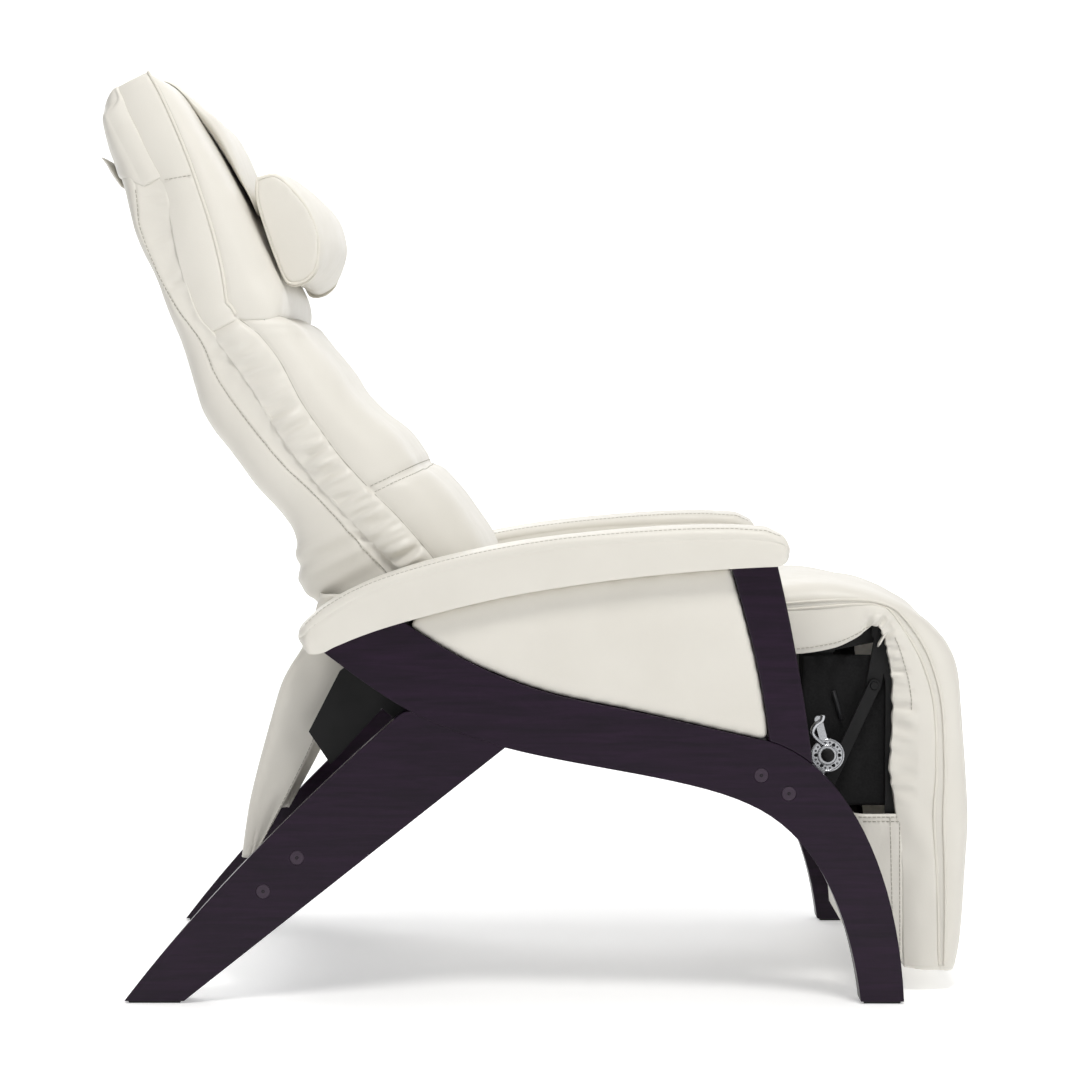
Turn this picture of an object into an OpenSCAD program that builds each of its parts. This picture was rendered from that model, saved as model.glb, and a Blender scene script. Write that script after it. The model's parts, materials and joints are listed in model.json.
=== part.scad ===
// Zero-gravity massage chair on a bent-wood frame.
// The chair faces +X, its middle plane is Y = 0, and the origin lies on the
// floor under the middle of its box. R is the sitter's right side (-Y).

/* [Overall] */
// Width over the armrest pads
overall_w = 720; // [712:2:740]
// Width of the seat, back and leg rest upholstery
seat_w = 512; // [504:2:514]

/* [Wood frame] */
// Thickness of the legs, beams and posts
wood_t = 42; // [38:1:44]
// Width of an armrest pad
arm_pad_w = 92; // [86:1:94]
// Thickness of the board inside an armrest pad
arm_board_t = 12; // [9:1:15]
// Thickness of the two cross rails
rail_t = 26; // [22:1:30]
// Diameter of the frame bolts
bolt_d = 8; // [6:1:8]
// Diameter of the wooden caps over the bolts
cap_d = 18; // [16:1:20]
// Thickness of the floor glides
glide_t = 3; // [2:0.5:3]

/* [Mechanism] */
// Thickness of the links, cranks and side plates
plate_t = 6; // [5:0.5:6]
// Diameter of the hip pivot bolts
hip_pin_d = 16; // [14:1:18]
// Diameter of the torque tube that drives the recline
tube_d = 25; // [22:1:28]
// Crank arm that pushes the back
recline_arm = 50; // [46:1:52]
// Crank arm that lifts the seat
tilt_arm = 60; // [58:1:62]
// Crank arm that lifts the leg rest
leg_arm = 70; // [66:1:72]
// Diameter of the link pins
link_pin_d = 12; // [10:1:12]
// Diameter of the leg rest's drive shaft
hub_shaft_d = 14; // [12:1:14]
// Difference between a bore and the pin that turns in it
running_fit = 0.1; // [0.06:0.02:0.16]

/* [Massage] */
// Outer diameter of a vibration motor's housing
motor_d = 44; // [42:1:46]
// Length of a vibration motor's housing
motor_l = 70; // [64:2:80]

/* [Pillow and keypad] */
// Width of the neck pillow
pillow_w = 380; // [340:10:400]
// Diameter of a keypad button
button_d = 14; // [12:1:15]

/* [Hidden] */
$fn = 48;

// Pivots, as [x, z] in the chair's middle plane
hip = [-132, 462];
tube = [0, 385];
knee = [450, 466];
hub = [377, 308];

// Arms of the cranks at rest, as angles from +X
recline_arm_a = -110;
tilt_arm_a = -17.5;
leg_arm_a = -100;
seat_pin_r = 222;
seat_pin_a = -4.7;

recline_v = recline_arm * [cos(recline_arm_a), sin(recline_arm_a)];
tilt_v = tilt_arm * [cos(tilt_arm_a), sin(tilt_arm_a)];
leg_v = leg_arm * [cos(leg_arm_a), sin(leg_arm_a)];
seat_pin = hip + seat_pin_r * [cos(seat_pin_a), sin(seat_pin_a)];
hub_finger = hub + [-12, 46];
// Rod that stops the recline gearbox from turning with its shaft
stay = tube + [-70, -46];
stay_d = 22;
// Rod that carries the rear curtain
curtain_at = [-266, 366];
curtain_rod_d = 8;

// Layers across the chair, as distances from the middle plane
pad_y = seat_w / 2;
wood_in = 300;
wood_out = wood_in + wood_t;
arm_out = overall_w / 2;
arm_in = arm_out - arm_pad_w;
bracket_y = wood_in - plate_t;
crank_y = 281;
link_y = 273;
seat_plate_y = 265.5;
back_plate_y = pad_y + 2;
back_plate_t = 5;
curtain_y = pad_y + 5;
seat_rail_in = 218;
seat_rail_out = 236;
back_rail_in = 226;
back_rail_out = 250;
knee_ear_y = 222;
hub_disc_y = pad_y + 1;
liner_y = 232;
leg_bar_y = 238;
leg_link_y = 248;

// Lean of the back from upright
back_lean = 26.6;
rail_w0 = -38;
rail_w1 = -14;
gear_half = 50;
gear_motor_l = 105;
head_bore_d = 13;
cap_depth = 8;
hip_plate_d = 54;
tube_end_d = tube_d - 5;
lever_w = 26;

// A cubic curve from a to d, pulled towards b and c
function bez(a, b, c, d, n = 14) = [
    for (i = [0:n])
        let (t = i / n, s = 1 - t)
            s * s * s * a + 3 * s * s * t * b + 3 * s * t * t * c + t * t * t * d
];

// A round stretch about the centre c
function arc(c, r, a0, a1, n = 12) = [
    for (i = [0:n])
        let (a = a0 + (a1 - a0) * i / n)
            c + r * [cos(a), sin(a)]
];

// A smooth curve through every point of p
function smooth(p, n = 5) = concat(
    [
        for (i = [0:len(p) - 2])
            let (a = p[max(i - 1, 0)], b = p[i], c = p[i + 1], d = p[min(i + 2, len(p) - 1)])
                for (k = [0:n - 1])
                    let (t = k / n)
                        (2 * b + (c - a) * t + (2 * a - 5 * b + 4 * c - d) * t * t
                        + (3 * b - a - 3 * c + d) * t * t * t) / 2
    ],
    [p[len(p) - 1]]
);

function reverse(p) = [for (i = [len(p) - 1:-1:0]) p[i]];
function moved(p, by) = [for (q = p) q + by];
function part_of(p, from, to) = [for (i = [from:to]) p[i]];

// Underside of an armrest, from its rear tip to its front
arm_under = bez([-268, 447], [-190, 490], [30, 548], [306, 557], 28);
arm_outline = concat(
    arm_under,
    bez([306, 557], [313, 557], [318, 562], [319, 572], 6),
    bez([319, 572], [322, 592], [290, 604], [250, 605], 8),
    bez([250, 605], [30, 605], [-240, 560], [-298, 472], 22),
    bez([-298, 472], [-299, 456], [-285, 444], [-268, 447], 8)
);
// The armrest touches the beam along this many of its underside's steps
hump_steps = 8;
post_steps = 26;

// Edges of the bow, from its rear tip to its foot and back
beam_hump = part_of(arm_under, 0, hump_steps);
beam_dip = bez(arm_under[hump_steps], [-110, 448], [-50, 405], [80, 381]);
beam_back = bez([80, 381], [170, 364], [240, 345], [296, 334]);
beam_shin = bez([296, 334], [395, 305], [460, 170], [468, glide_t], 20);
beam_calf = bez([413, glide_t], [400, 110], [360, 215], [271, 254], 18);
beam_belly = bez([271, 254], [200, 288], [60, 300], [-38, 326]);
leg_seat = bez([-38, 326], [-78, 338], [-115, 351], [-150, 368], 8);
beam_tail = bez([-150, 368], [-185, 385], [-225, 415], [-268, 447], 10);
beam_outline = concat(
    beam_hump, beam_dip, beam_back, beam_shin, beam_calf, beam_belly, leg_seat, beam_tail
);
leg_outline = concat(
    [[-522, glide_t], [-446, glide_t]],
    leg_seat,
    bez([-150, 368], [-163, 377], [-170, 369], [-184, 357], 6),
    bez([-184, 357], [-260, 290], [-410, 150], [-522, glide_t])
);
post_foot = 4;
post_back = bez([296, 334], [290, 400], [270, 480], arm_under[post_steps], 10);
post_front = bez(arm_under[28], [320, 500], [340, 400], beam_shin[post_foot], 10);
post_outline = concat(post_back, [arm_under[27]], post_front, reverse(part_of(beam_shin, 1, post_foot - 1)));

// The upholstered panel keeps this far from the wood round it
panel_gap = 1.5;
panel_outline = concat(
    moved(part_of(arm_under, hump_steps + 1, post_steps - 1), [0, -panel_gap]),
    [arm_under[post_steps] - [panel_gap, panel_gap]],
    moved(reverse(part_of(post_back, 1, 9)), [-panel_gap, 0]),
    bez([294, 345], [293, 336], [288, 337], [280, 339], 5),
    moved(reverse(part_of(beam_back, 1, 12)), [0, panel_gap]),
    moved(reverse(part_of(beam_dip, 1, 14)), [0, panel_gap])
);

// Steel plate between the hip pivot, the torque tube and the curtain rod
bracket_outline = [
    [-250, 420], [-160, 484], [-104, 484], [-64, 440], [14, 411], [28, 378], [8, 352],
    [-50, 324], [-90, 324], [-150, 332], [-196, 372], [-262, 300], [-290, 342]
];

// Bolts that hold the cross rails, as [x, z]
rear_bolts = [[-302, 186], [-345, 143]];
front_bolts = [[286, 291], [321, 268]];

// Back outlines, as [forward of the hip, up the back]
back_rear = smooth([
    [-24, 814], [-51, 812], [-69, 795], [-83, 772], [-90, 745], [-96, 706], [-106, 665],
    [-111, 582], [-114, 527], [-121, 472], [-134, 410], [-133, 375], [-125, 330], [-112, 266],
    [-98, 203], [-114, 165], [-119, 128], [-106, 98]
], 3);
back_rear_last = len(back_rear) - 1;
cover_front_w = -42;
cover_wall = 12;
cover_inner = moved(part_of(back_rear, 10, back_rear_last - 4), [cover_wall, 0]);
head_split = 452;
lumbar_split = 190;
cushion_w = -9;
head_outline = concat(
    [[cushion_w, head_split], [cushion_w, 764], [-41, 764], [-41, 812]],
    smooth([[-24, 813], [0, 809], [14, 776], [24, 734], [29, 690], [31, 600], [31, 540],
        [30, 500], [25, 480], [14, head_split]], 3)
);
upper_lumbar_outline = concat(
    [[cushion_w, lumbar_split], [cushion_w, head_split - 4]],
    smooth([[24, head_split - 4], [31, 434], [39, 399], [47, 365], [50, 332], [61, 296],
        [79, 257], [86, 220], [95, lumbar_split]], 3)
);
lower_r = 116;
lower_hole_r = 45;
lower_lumbar_outline = concat(
    [[cushion_w, lumbar_split - 3]],
    smooth([[96, lumbar_split - 3], [110, 149], [115, 116], [118, 84], [117, 50], [115, 14]], 3),
    arc([0, 0], lower_r, 0, -31),
    arc([0, 0], lower_hole_r, -31, 101.5)
);
pillow_mid = [77, 561];
pillow_half = [42, 76];
pillow_outline = [
    for (a = [0:10:350])
        pillow_mid + [pillow_half.x * cos(a) + 4 * sin(a), pillow_half.y * sin(a)]
];
strap_y = 150;
strap_top = smooth([[38, 600], [40, 640], [41, 675], [39.5, 710], [35.5, 745], [26, 780], [6, 815],
    [-24, 818], [-55, 816], [-73, 800]], 3);
strap_foot = smooth([[-70.5, 797], [-52, 813.2], [-24, 814.8], [5, 811], [20, 776], [29, 741],
    [33.5, 705], [34.5, 675], [34, 640], [34, 600]], 3);
weight_outline = [[-109.5, 640], [-108.5, 665], [-98.5, 706], [-94, 735],
    [-99, 735], [-103.5, 706], [-113.5, 665], [-114.5, 640]];

// Seat and leg rest outlines
roll_r = 57;
roll_gap = 1.5;
seat_gap_r = lower_r + 2.5;
seat_outline = concat(
    arc(hip, seat_gap_r, -10.7, 26.6),
    smooth([hip + seat_gap_r * [cos(26.6), sin(26.6)], [40, 509], [120, 508], [220, 521],
        [328, 532], [405, 531], knee + (roll_r + roll_gap) * [cos(97), sin(97)]]),
    arc(knee, roll_r + roll_gap, 98, 181),
    [[379, 444], [340, 438]]
);
calf_back_x = 476;
calf_foot = 33;
calf_outline = concat(
    arc(knee, roll_r + roll_gap + 0.5, -62, 8),
    smooth([[511, 470], [521, 450], [537, 415], [546, 367], [551, 322], [555, 262], [555, 215],
        [553, 161], [550, 110], [545, 58], [536, calf_foot]], 3),
    [[500, calf_foot], [calf_back_x, calf_foot + 6], [calf_back_x, 412]]
);
cover_back_x = 405;
cover_top = 231;
liner_outline = [[348, 437], [386, 437], [460, 400], [460, 240], [414, 240], [348, 262]];

// Keypad
panel_x = 180;
panel_z = 498;
panel_t = 6;
button_pitch = 20;
button_back = wood_in + 0.5;
button_proud = 3;
buttons = ["recline_button", "upright_button", "leg_up_button", "leg_down_button", "massage_button"];

// An outline in the X-Z plane, made solid from y0 to y1
module slab(y0, y1) {
    translate([0, y1, 0])
        rotate([90, 0, 0])
            linear_extrude(y1 - y0)
                children();
}

// The same outline on the right side, between two distances from the middle
module right_slab(near, far) {
    slab(-far, -near)
        children();
}

// A rod along Y at [x, z]
module rod(at, d, y0, y1) {
    translate([at.x, y1, at.y])
        rotate([90, 0, 0])
            cylinder(d = d, h = y1 - y0);
}

module right_rod(at, d, near, far) {
    rod(at, d, -far, -near);
}

module left_of_mirror() {
    mirror([0, 1, 0])
        children();
}

module both_sides() {
    children();
    left_of_mirror()
        children();
}

// Children drawn as [forward, across, up the back], placed on the leaning back
module on_back() {
    translate([hip.x, 0, hip.y])
        rotate([0, -back_lean, 0])
            children();
}

// A flat bar between two round ends, in the X-Z plane
module link_shape(a, b, w) {
    turn = atan2(b.y - a.y, b.x - a.x);
    polygon(concat(
        arc(a, w / 2, turn + 90, turn + 270),
        arc(b, w / 2, turn - 90, turn + 90)
    ));
}

// Bolt holes through the right side's wood, with a seat for the head and cap
module bolt_holes(places) {
    for (p = places) {
        right_rod(p, bolt_d + 0.4, wood_in - 1, wood_out + 1);
        right_rod(p, cap_d, wood_out - 2 * cap_depth, wood_out + 1);
    }
}

module rear_leg() {
    color("#2b1420")
        difference() {
            right_slab(wood_in, wood_out)
                polygon(leg_outline);
            bolt_holes(rear_bolts);
        }
}

module side_beam() {
    color("#2b1420")
        difference() {
            right_slab(wood_in, wood_out)
                polygon(beam_outline);
            bolt_holes(front_bolts);
        }
}

module front_post() {
    color("#2b1420")
        right_slab(wood_in, wood_out)
            polygon(post_outline);
}

module side_panel() {
    color("#efece2")
        right_slab(wood_in + 2, wood_out - 4)
            polygon(panel_outline);
}

// Strip just above an armrest's underside, t high
module arm_strip(from, to, below, t) {
    polygon(concat(
        moved(part_of(arm_under, from, to), [0, -below]),
        moved(reverse(part_of(arm_under, from, to)), [0, t])
    ));
}

module armrest_pad() {
    color("#f1eee4")
        difference() {
            right_slab(arm_in, arm_out)
                polygon(arm_outline);
            right_slab(arm_in + 8, arm_out - 8)
                arm_strip(1, 27, 5, arm_board_t + 0.4);
            right_slab(arm_in - 1, arm_in + 4)
                translate([-320, 590])
                    square([660, 30]);
            right_slab(arm_out - 4, arm_out + 1)
                translate([-320, 590])
                    square([660, 30]);
        }
}

module arm_boards() {
    color("#b98d5a")
        both_sides()
            right_slab(arm_in + 9, arm_out - 9)
                arm_strip(2, 26, 0, arm_board_t);
}

// A board across the chair, held by a pair of bolts at each end
module cross_rail(bolts, w) {
    mid = (bolts[0] + bolts[1]) / 2;
    turn = atan2(bolts[1].y - bolts[0].y, bolts[1].x - bolts[0].x);
    color("#2b1420")
        difference() {
            slab(-wood_in, wood_in)
                translate(mid)
                    rotate(turn)
                        square([w, rail_t], center = true);
            both_sides()
                for (p = bolts)
                    right_rod(p, bolt_d + 0.4, wood_in - 46, wood_in + 1);
        }
}

module rear_cross_rail() {
    cross_rail(rear_bolts, 100);
}

module front_cross_rail() {
    cross_rail(front_bolts, 80);
}

module frame_bolts() {
    color("#9a9ca0")
        both_sides()
            for (p = concat(rear_bolts, front_bolts)) {
                right_rod(p, bolt_d, wood_in - 44, wood_out - 2 * cap_depth + 1);
                right_rod(p, head_bore_d, wood_out - 2 * cap_depth, wood_out - cap_depth - 0.5);
            }
}

module bolt_caps() {
    color("#3a1c2c")
        both_sides()
            for (p = concat(rear_bolts, front_bolts))
                right_rod(p, cap_d - 0.2, wood_out - cap_depth, wood_out + 0.3);
}

module foot_glides() {
    color("#1b1b1d")
        both_sides()
            for (x = [[-517, 66], [417, 47]])
                translate([x[0], -wood_out + 4, 0])
                    cube([x[1], wood_t - 8, glide_t]);
}

// Side plates that carry the hip pivots, the torque tube and the curtain rod
module hip_brackets() {
    color("#17171a") {
        both_sides()
            difference() {
                right_slab(bracket_y, wood_in - 0.2) {
                    polygon(bracket_outline);
                    translate(tube)
                        circle(d = 56);
                }
                right_rod(hip, hip_pin_d + running_fit, bracket_y - 1, wood_in + 1);
                right_rod(tube, tube_end_d + running_fit, bracket_y - 1, wood_in + 1);
            }
        rod(stay, stay_d, -bracket_y - 1, bracket_y + 1);
    }
}

module hip_pivots() {
    color("#a9abb0")
        both_sides() {
            right_rod(hip, hip_pin_d, pad_y - 3, wood_in - 0.2);
            right_rod(hip, hip_pin_d + 8, pad_y - 3, pad_y + 1.5);
        }
}

module curtain_rod() {
    color("#17171a")
        rod(curtain_at, curtain_rod_d, -bracket_y, bracket_y);
}

// Leather skirt behind the mechanism: a rear sheet with two side returns
module rear_curtain() {
    skin = 3.5;
    outline = [[-330, 395], [-256, 388], [-284, 322], [-352, 194], [-383, 172]];
    inner = [[-330 + skin, 400], [-200, 400], [-200, 150], [-383 + skin, 150], [-383 + skin + 0.6, 172]];
    color("#e9e5da")
        difference() {
            slab(-curtain_y, curtain_y)
                polygon(outline);
            slab(-curtain_y + skin, curtain_y - skin)
                polygon(inner);
            rod(curtain_at, curtain_rod_d + 0.4, -curtain_y - 1, curtain_y + 1);
        }
}

module recline_gearbox() {
    color("#2a2b2e")
        difference() {
            union() {
                slab(-gear_half, gear_half)
                    translate(tube + [-92, -64])
                        square([122, 97]);
                rod(tube + [-26, -33], 52, gear_half - 1, gear_half + gear_motor_l);
            }
            rod(tube, tube_d + running_fit, -gear_half - 1, gear_half + gear_motor_l + 1);
            rod(stay, stay_d + 0.2, -gear_half - 1, gear_half + gear_motor_l + 1);
        }
}

module control_box() {
    color("#232427")
        slab(-90, 90)
            polygon([[180, 296], [180, 340], [270, 340], [276, 313], [262, 290]]);
}

module power_inlet() {
    color("#101012") {
        difference() {
            translate([170, -15, 305])
                cube([10, 30, 25]);
            translate([169, -12, 308])
                cube([9, 24, 19]);
        }
        for (y = [-7, 0, 7])
            translate([172, y - 1, y == 0 ? 319 : 313])
                cube([8, 2, 4]);
    }
}

module control_panel() {
    half = button_pitch * (len(buttons) - 1) / 2;
    color("#1c1c1f")
        left_of_mirror()
            difference() {
                right_slab(wood_in + 2 - panel_t, wood_in + 2)
                    translate([panel_x - half - 14, panel_z - 14])
                        square([2 * half + 28, 28]);
                for (i = [0:len(buttons) - 1]) {
                    at = [panel_x - half + i * button_pitch, panel_z];
                    right_rod(at, button_d + 0.3, wood_in - panel_t, wood_in + 3);
                    right_rod(at, button_d + 2.6, wood_in - 1.8, wood_in + 3);
                }
            }
}

// Button i of the keypad, with a rim that keeps it in its hole
module keypad_button(i) {
    at = [panel_x + (i - (len(buttons) - 1) / 2) * button_pitch, panel_z];
    front = wood_in + 2 - panel_t - button_proud;
    color("#c9cacd")
        left_of_mirror() {
            right_rod(at, button_d, front, button_back - 1);
            right_rod(at, button_d + 2, button_back - 1.7, button_back);
        }
}

module torque_tube() {
    color("#1c1d20") {
        rod(tube, tube_d, -crank_y - plate_t - 1, crank_y + plate_t + 1);
        rod(tube, tube_end_d, -wood_in + 0.4, wood_in - 0.4);
        both_sides() {
            right_slab(crank_y, crank_y + plate_t) {
                link_shape(tube, tube + recline_v, 28);
                link_shape(tube, tube + tilt_v, 28);
                translate(tube)
                    circle(d = 44);
            }
            right_rod(tube + recline_v, link_pin_d, link_y - 1, crank_y + 1);
            right_rod(tube + tilt_v, link_pin_d, link_y - 1, crank_y + 1);
        }
    }
}

module recline_links() {
    color("#3c3e43")
        both_sides()
            difference() {
                right_slab(link_y, link_y + plate_t)
                    link_shape(tube + recline_v, hip + recline_v, 24);
                for (p = [tube + recline_v, hip + recline_v])
                    right_rod(p, link_pin_d + running_fit, link_y - 1, link_y + plate_t + 1);
            }
}

module tilt_links() {
    slot_l = 7;
    color("#3c3e43")
        both_sides()
            difference() {
                right_slab(link_y, link_y + plate_t) {
                    link_shape(tube + tilt_v, seat_pin, 24);
                    translate(seat_pin)
                        circle(d = 34);
                }
                right_rod(tube + tilt_v, link_pin_d + running_fit, link_y - 1, link_y + plate_t + 1);
                right_slab(link_y - 1, link_y + plate_t + 1)
                    link_shape(seat_pin - [slot_l / 2, 0], seat_pin + [slot_l / 2, 0], link_pin_d + 1.4);
            }
}

// Rails, cross members, hip plates, drive brackets and knee ears of the seat
module seat_frame() {
    rail_z = 440;
    rail_h = 24;
    color("#26272b") {
        both_sides() {
            right_slab(seat_rail_in, seat_rail_out)
                translate([0, rail_z])
                    square([388, rail_h]);
            difference() {
                right_slab(seat_plate_y, seat_plate_y + plate_t) {
                    translate(hip)
                        circle(d = hip_plate_d);
                    translate([hip.x, 448])
                        square([382, 28]);
                    translate(seat_pin)
                        circle(d = 32);
                }
                right_rod(hip, hip_pin_d + running_fit, seat_plate_y - 1, seat_plate_y + plate_t + 1);
            }
            right_rod(seat_pin, link_pin_d, seat_plate_y + 1, link_y + plate_t + 1);
            right_slab(seat_rail_out - 1, seat_plate_y + 1)
                translate([160, 448])
                    square([60, 14]);
            difference() {
                right_slab(knee_ear_y, knee_ear_y + plate_t) {
                    link_shape([380, 452], knee, 24);
                    polygon([[346, 446], [386, 446], [392, 308], [362, 308]]);
                    translate(hub)
                        circle(d = 40);
                }
                right_rod(hub, hub_shaft_d + running_fit, knee_ear_y - 1, knee_ear_y + plate_t + 1);
            }
            right_rod(knee, link_pin_d, knee_ear_y + 1, leg_bar_y + 7);
        }
        for (x = [4, 200, 356])
            translate([x, -seat_rail_in - 1, rail_z])
                cube([28, 2 * seat_rail_in + 2, 6]);
    }
}

module seat_webbing() {
    color("#4a4a4c")
        for (x = [40:62:350])
            translate([x - 20, -seat_rail_out, 464])
                cube([40, 2 * seat_rail_out, 2]);
}

module seat_cushion() {
    color("#f1eee4")
        difference() {
            slab(-pad_y, pad_y)
                polygon(seat_outline);
            slab(-pad_y + 6, pad_y - 6)
                polygon([[-4, 430], [-4, 468], [378, 468], [386, 476], [400, 476], [400, 430]]);
            both_sides()
                right_slab(pad_y - 7, pad_y + 1)
                    translate([157, 430])
                        square([66, 35]);
        }
}

module knee_roll() {
    color("#f1eee4")
        rod(knee, 2 * roll_r, -knee_ear_y + 4, knee_ear_y - 4);
}

module liner_panels() {
    color("#0f0f11")
        both_sides()
            difference() {
                right_slab(liner_y, liner_y + 3)
                    polygon(liner_outline);
                right_rod(hub, 30, liner_y - 1, liner_y + 4);
            }
}

module leg_gearbox() {
    color("#2a2b2e")
        difference() {
            union() {
                slab(-gear_half, gear_half)
                    translate([346, 282])
                        square([62, 60]);
                rod(hub + [-5, 8], 46, gear_half - 1, gear_half + gear_motor_l);
                translate([358, -30, 341])
                    cube([24, 60, 99]);
            }
            rod(hub, hub_shaft_d + running_fit, -gear_half - 1, gear_half + gear_motor_l + 1);
        }
}

// Housing of a vibration motor, with its middle at the origin and its shaft along Y
module motor_housing(plate_l, plate_w) {
    color("#33353a")
        difference() {
            union() {
                rod([0, 0], motor_d, -motor_l / 2, motor_l / 2);
                translate([-plate_l / 2, -plate_w / 2, motor_d / 2 - 3])
                    cube([plate_l, plate_w, 6]);
            }
            rod([0, 0], motor_d - 6, -motor_l / 2 + 5, motor_l / 2 - 5);
            rod([0, 0], 4 + running_fit, -motor_l / 2 + 2, motor_l / 2 - 2);
        }
}

// Eccentric weights on a motor's shaft
module motor_weight() {
    color("#8d8f94") {
        rod([0, 0], 4, -motor_l / 2 + 2.5, motor_l / 2 - 2.5);
        for (y = [-22, 12])
            slab(y, y + 10)
                intersection() {
                    circle(d = motor_d - 12);
                    translate([-motor_d / 2, -motor_d])
                        square([motor_d, motor_d + 3]);
                }
    }
}

seat_motor_at = [214, 0, 415];
upper_motor_at = [-60, 0, 560];
lower_motor_at = [-60, 0, 300];

module seat_motor() {
    translate(seat_motor_at)
        motor_housing(40, 60);
}

module seat_motor_weight() {
    translate(seat_motor_at)
        motor_weight();
}

module on_back_at(at) {
    on_back()
        translate([at.x - 3, 0, at.z])
            rotate([0, 90, 0])
                children();
}

module upper_back_motor() {
    on_back_at(upper_motor_at)
        motor_housing(50, 2 * back_rail_out - 12);
}

module upper_motor_weight() {
    on_back_at(upper_motor_at)
        motor_weight();
}

module lower_back_motor() {
    on_back_at(lower_motor_at)
        motor_housing(50, 2 * back_rail_out - 12);
}

module lower_motor_weight() {
    on_back_at(lower_motor_at)
        motor_weight();
}

// Shaft through the leg gearbox, with a crank and a drilled hub disc at each end
module leg_drive_shaft() {
    color("#b9bbc0") {
        rod(hub, hub_shaft_d, -hub_disc_y - 1, hub_disc_y + 1);
        both_sides() {
            right_slab(leg_bar_y, leg_bar_y + plate_t) {
                link_shape(hub, hub + leg_v, 22);
                translate(hub)
                    circle(d = 34);
            }
            right_rod(hub + leg_v, link_pin_d - 2, leg_bar_y + 1, leg_link_y + plate_t);
            difference() {
                right_slab(hub_disc_y, hub_disc_y + 5)
                    union() {
                        translate(hub)
                            circle(d = 43);
                        link_shape(hub, hub_finger, 10);
                    }
                for (a = [0:60:300])
                    right_rod(hub + 15 * [cos(a), sin(a)], 5, hub_disc_y - 1, hub_disc_y + 6);
            }
            right_rod(hub, 16, hub_disc_y + 4, hub_disc_y + 8);
        }
    }
}

module leg_links() {
    color("#3c3e43")
        both_sides()
            difference() {
                right_slab(leg_link_y - 2, leg_link_y + plate_t - 2)
                    link_shape(hub + leg_v, knee + leg_v, 16);
                for (p = [hub + leg_v, knee + leg_v])
                    right_rod(p, link_pin_d - 2 + running_fit, leg_link_y - 3, leg_link_y + plate_t);
            }
}

module leg_rest_frame() {
    bar_x = 453;
    bar_w = 21;
    color("#26272b") {
        both_sides() {
            difference() {
                right_slab(leg_bar_y, leg_bar_y + plate_t) {
                    translate([bar_x, 60])
                        square([bar_w, 360]);
                    polygon([[438, 466], [bar_x, 400], [bar_x + bar_w, 400], [bar_x + bar_w, 430],
                        [462, 466]]);
                    translate(knee)
                        circle(d = 30);
                    link_shape(knee + leg_v, knee, 20);
                }
                right_rod(knee, link_pin_d + running_fit, leg_bar_y - 1, leg_bar_y + plate_t + 1);
            }
            right_rod(knee + leg_v, link_pin_d - 2, leg_bar_y + 1, leg_link_y + plate_t);
        }
        for (z = [70, 230, 370])
            translate([463, -leg_bar_y - 1, z])
                cube([10, 2 * leg_bar_y + 2, 26]);
    }
}

module calf_cushion() {
    color("#f1eee4")
        slab(-pad_y, pad_y)
            polygon(calf_outline);
}

// Leather box behind the lower half of the leg rest, open at its top and front
module leg_rest_cover() {
    skin = 5;
    color("#e9e5da")
        difference() {
            slab(-pad_y, pad_y)
                polygon([[cover_back_x, cover_top], [calf_back_x - 1, cover_top],
                    [calf_back_x - 1, calf_foot + 6], [cover_back_x + 20, calf_foot + 10]]);
            slab(-pad_y + skin, pad_y - skin)
                polygon([[cover_back_x + skin, cover_top + 5], [calf_back_x + 5, cover_top + 5],
                    [calf_back_x + 5, calf_foot + 6 + skin],
                    [cover_back_x + 20 + skin, calf_foot + 10 + skin]]);
        }
}

// Side rails, cross members and hip plates of the back
module back_frame() {
    color("#26272b") {
        on_back() {
            both_sides() {
                right_slab(back_rail_in, back_rail_out)
                    translate([rail_w0, 30])
                        square([rail_w1 - rail_w0, 726]);
                right_slab(back_rail_out - 1, back_plate_y + 1)
                    translate([rail_w0 + 2, 40])
                        square([20, 45]);
            }
            for (u = [110, 430, 730])
                translate([rail_w0 + 6, -back_rail_in - 1, u])
                    cube([12, 2 * back_rail_in + 2, 26]);
        }
        both_sides() {
            difference() {
                right_slab(back_plate_y, back_plate_y + back_plate_t)
                    union() {
                        translate(hip)
                            circle(d = hip_plate_d - 4);
                        translate(hip)
                            rotate(back_lean)
                                polygon([[rail_w0, 0], [24, 0], [-10, 88], [rail_w0, 88]]);
                        link_shape(hip, hip + recline_v, lever_w);
                    }
                right_rod(hip, hip_pin_d + running_fit, back_plate_y - 1, back_plate_y + back_plate_t + 1);
            }
            right_rod(hip + recline_v, link_pin_d, back_plate_y + 1, link_y + plate_t + 1);
        }
    }
}

module back_webbing() {
    color("#4a4a4c")
        on_back()
            for (u = [200:80:720])
                translate([rail_w1, -back_rail_out, u - 22])
                    cube([2, 2 * back_rail_out, 44]);
}

module heating_pad() {
    color("#7d2f2a")
        on_back()
            translate([rail_w1 + 2.2, -140, 205])
                cube([2.4, 280, 225]);
}

// One of the back's cushions, from its outline up the back
module back_cushion(outline) {
    color("#f1eee4")
        on_back()
            slab(-pad_y, pad_y)
                polygon(outline);
}

module head_cushion() {
    back_cushion(head_outline);
}

module upper_lumbar_cushion() {
    back_cushion(upper_lumbar_outline);
}

module lower_lumbar_cushion() {
    back_cushion(lower_lumbar_outline);
}

module side_gussets() {
    color("#efece2")
        on_back()
            both_sides()
                right_slab(back_rail_out + 1, pad_y)
                    translate([cover_front_w + 1, 166])
                        square([cushion_w - cover_front_w - 2, 597]);
}

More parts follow.
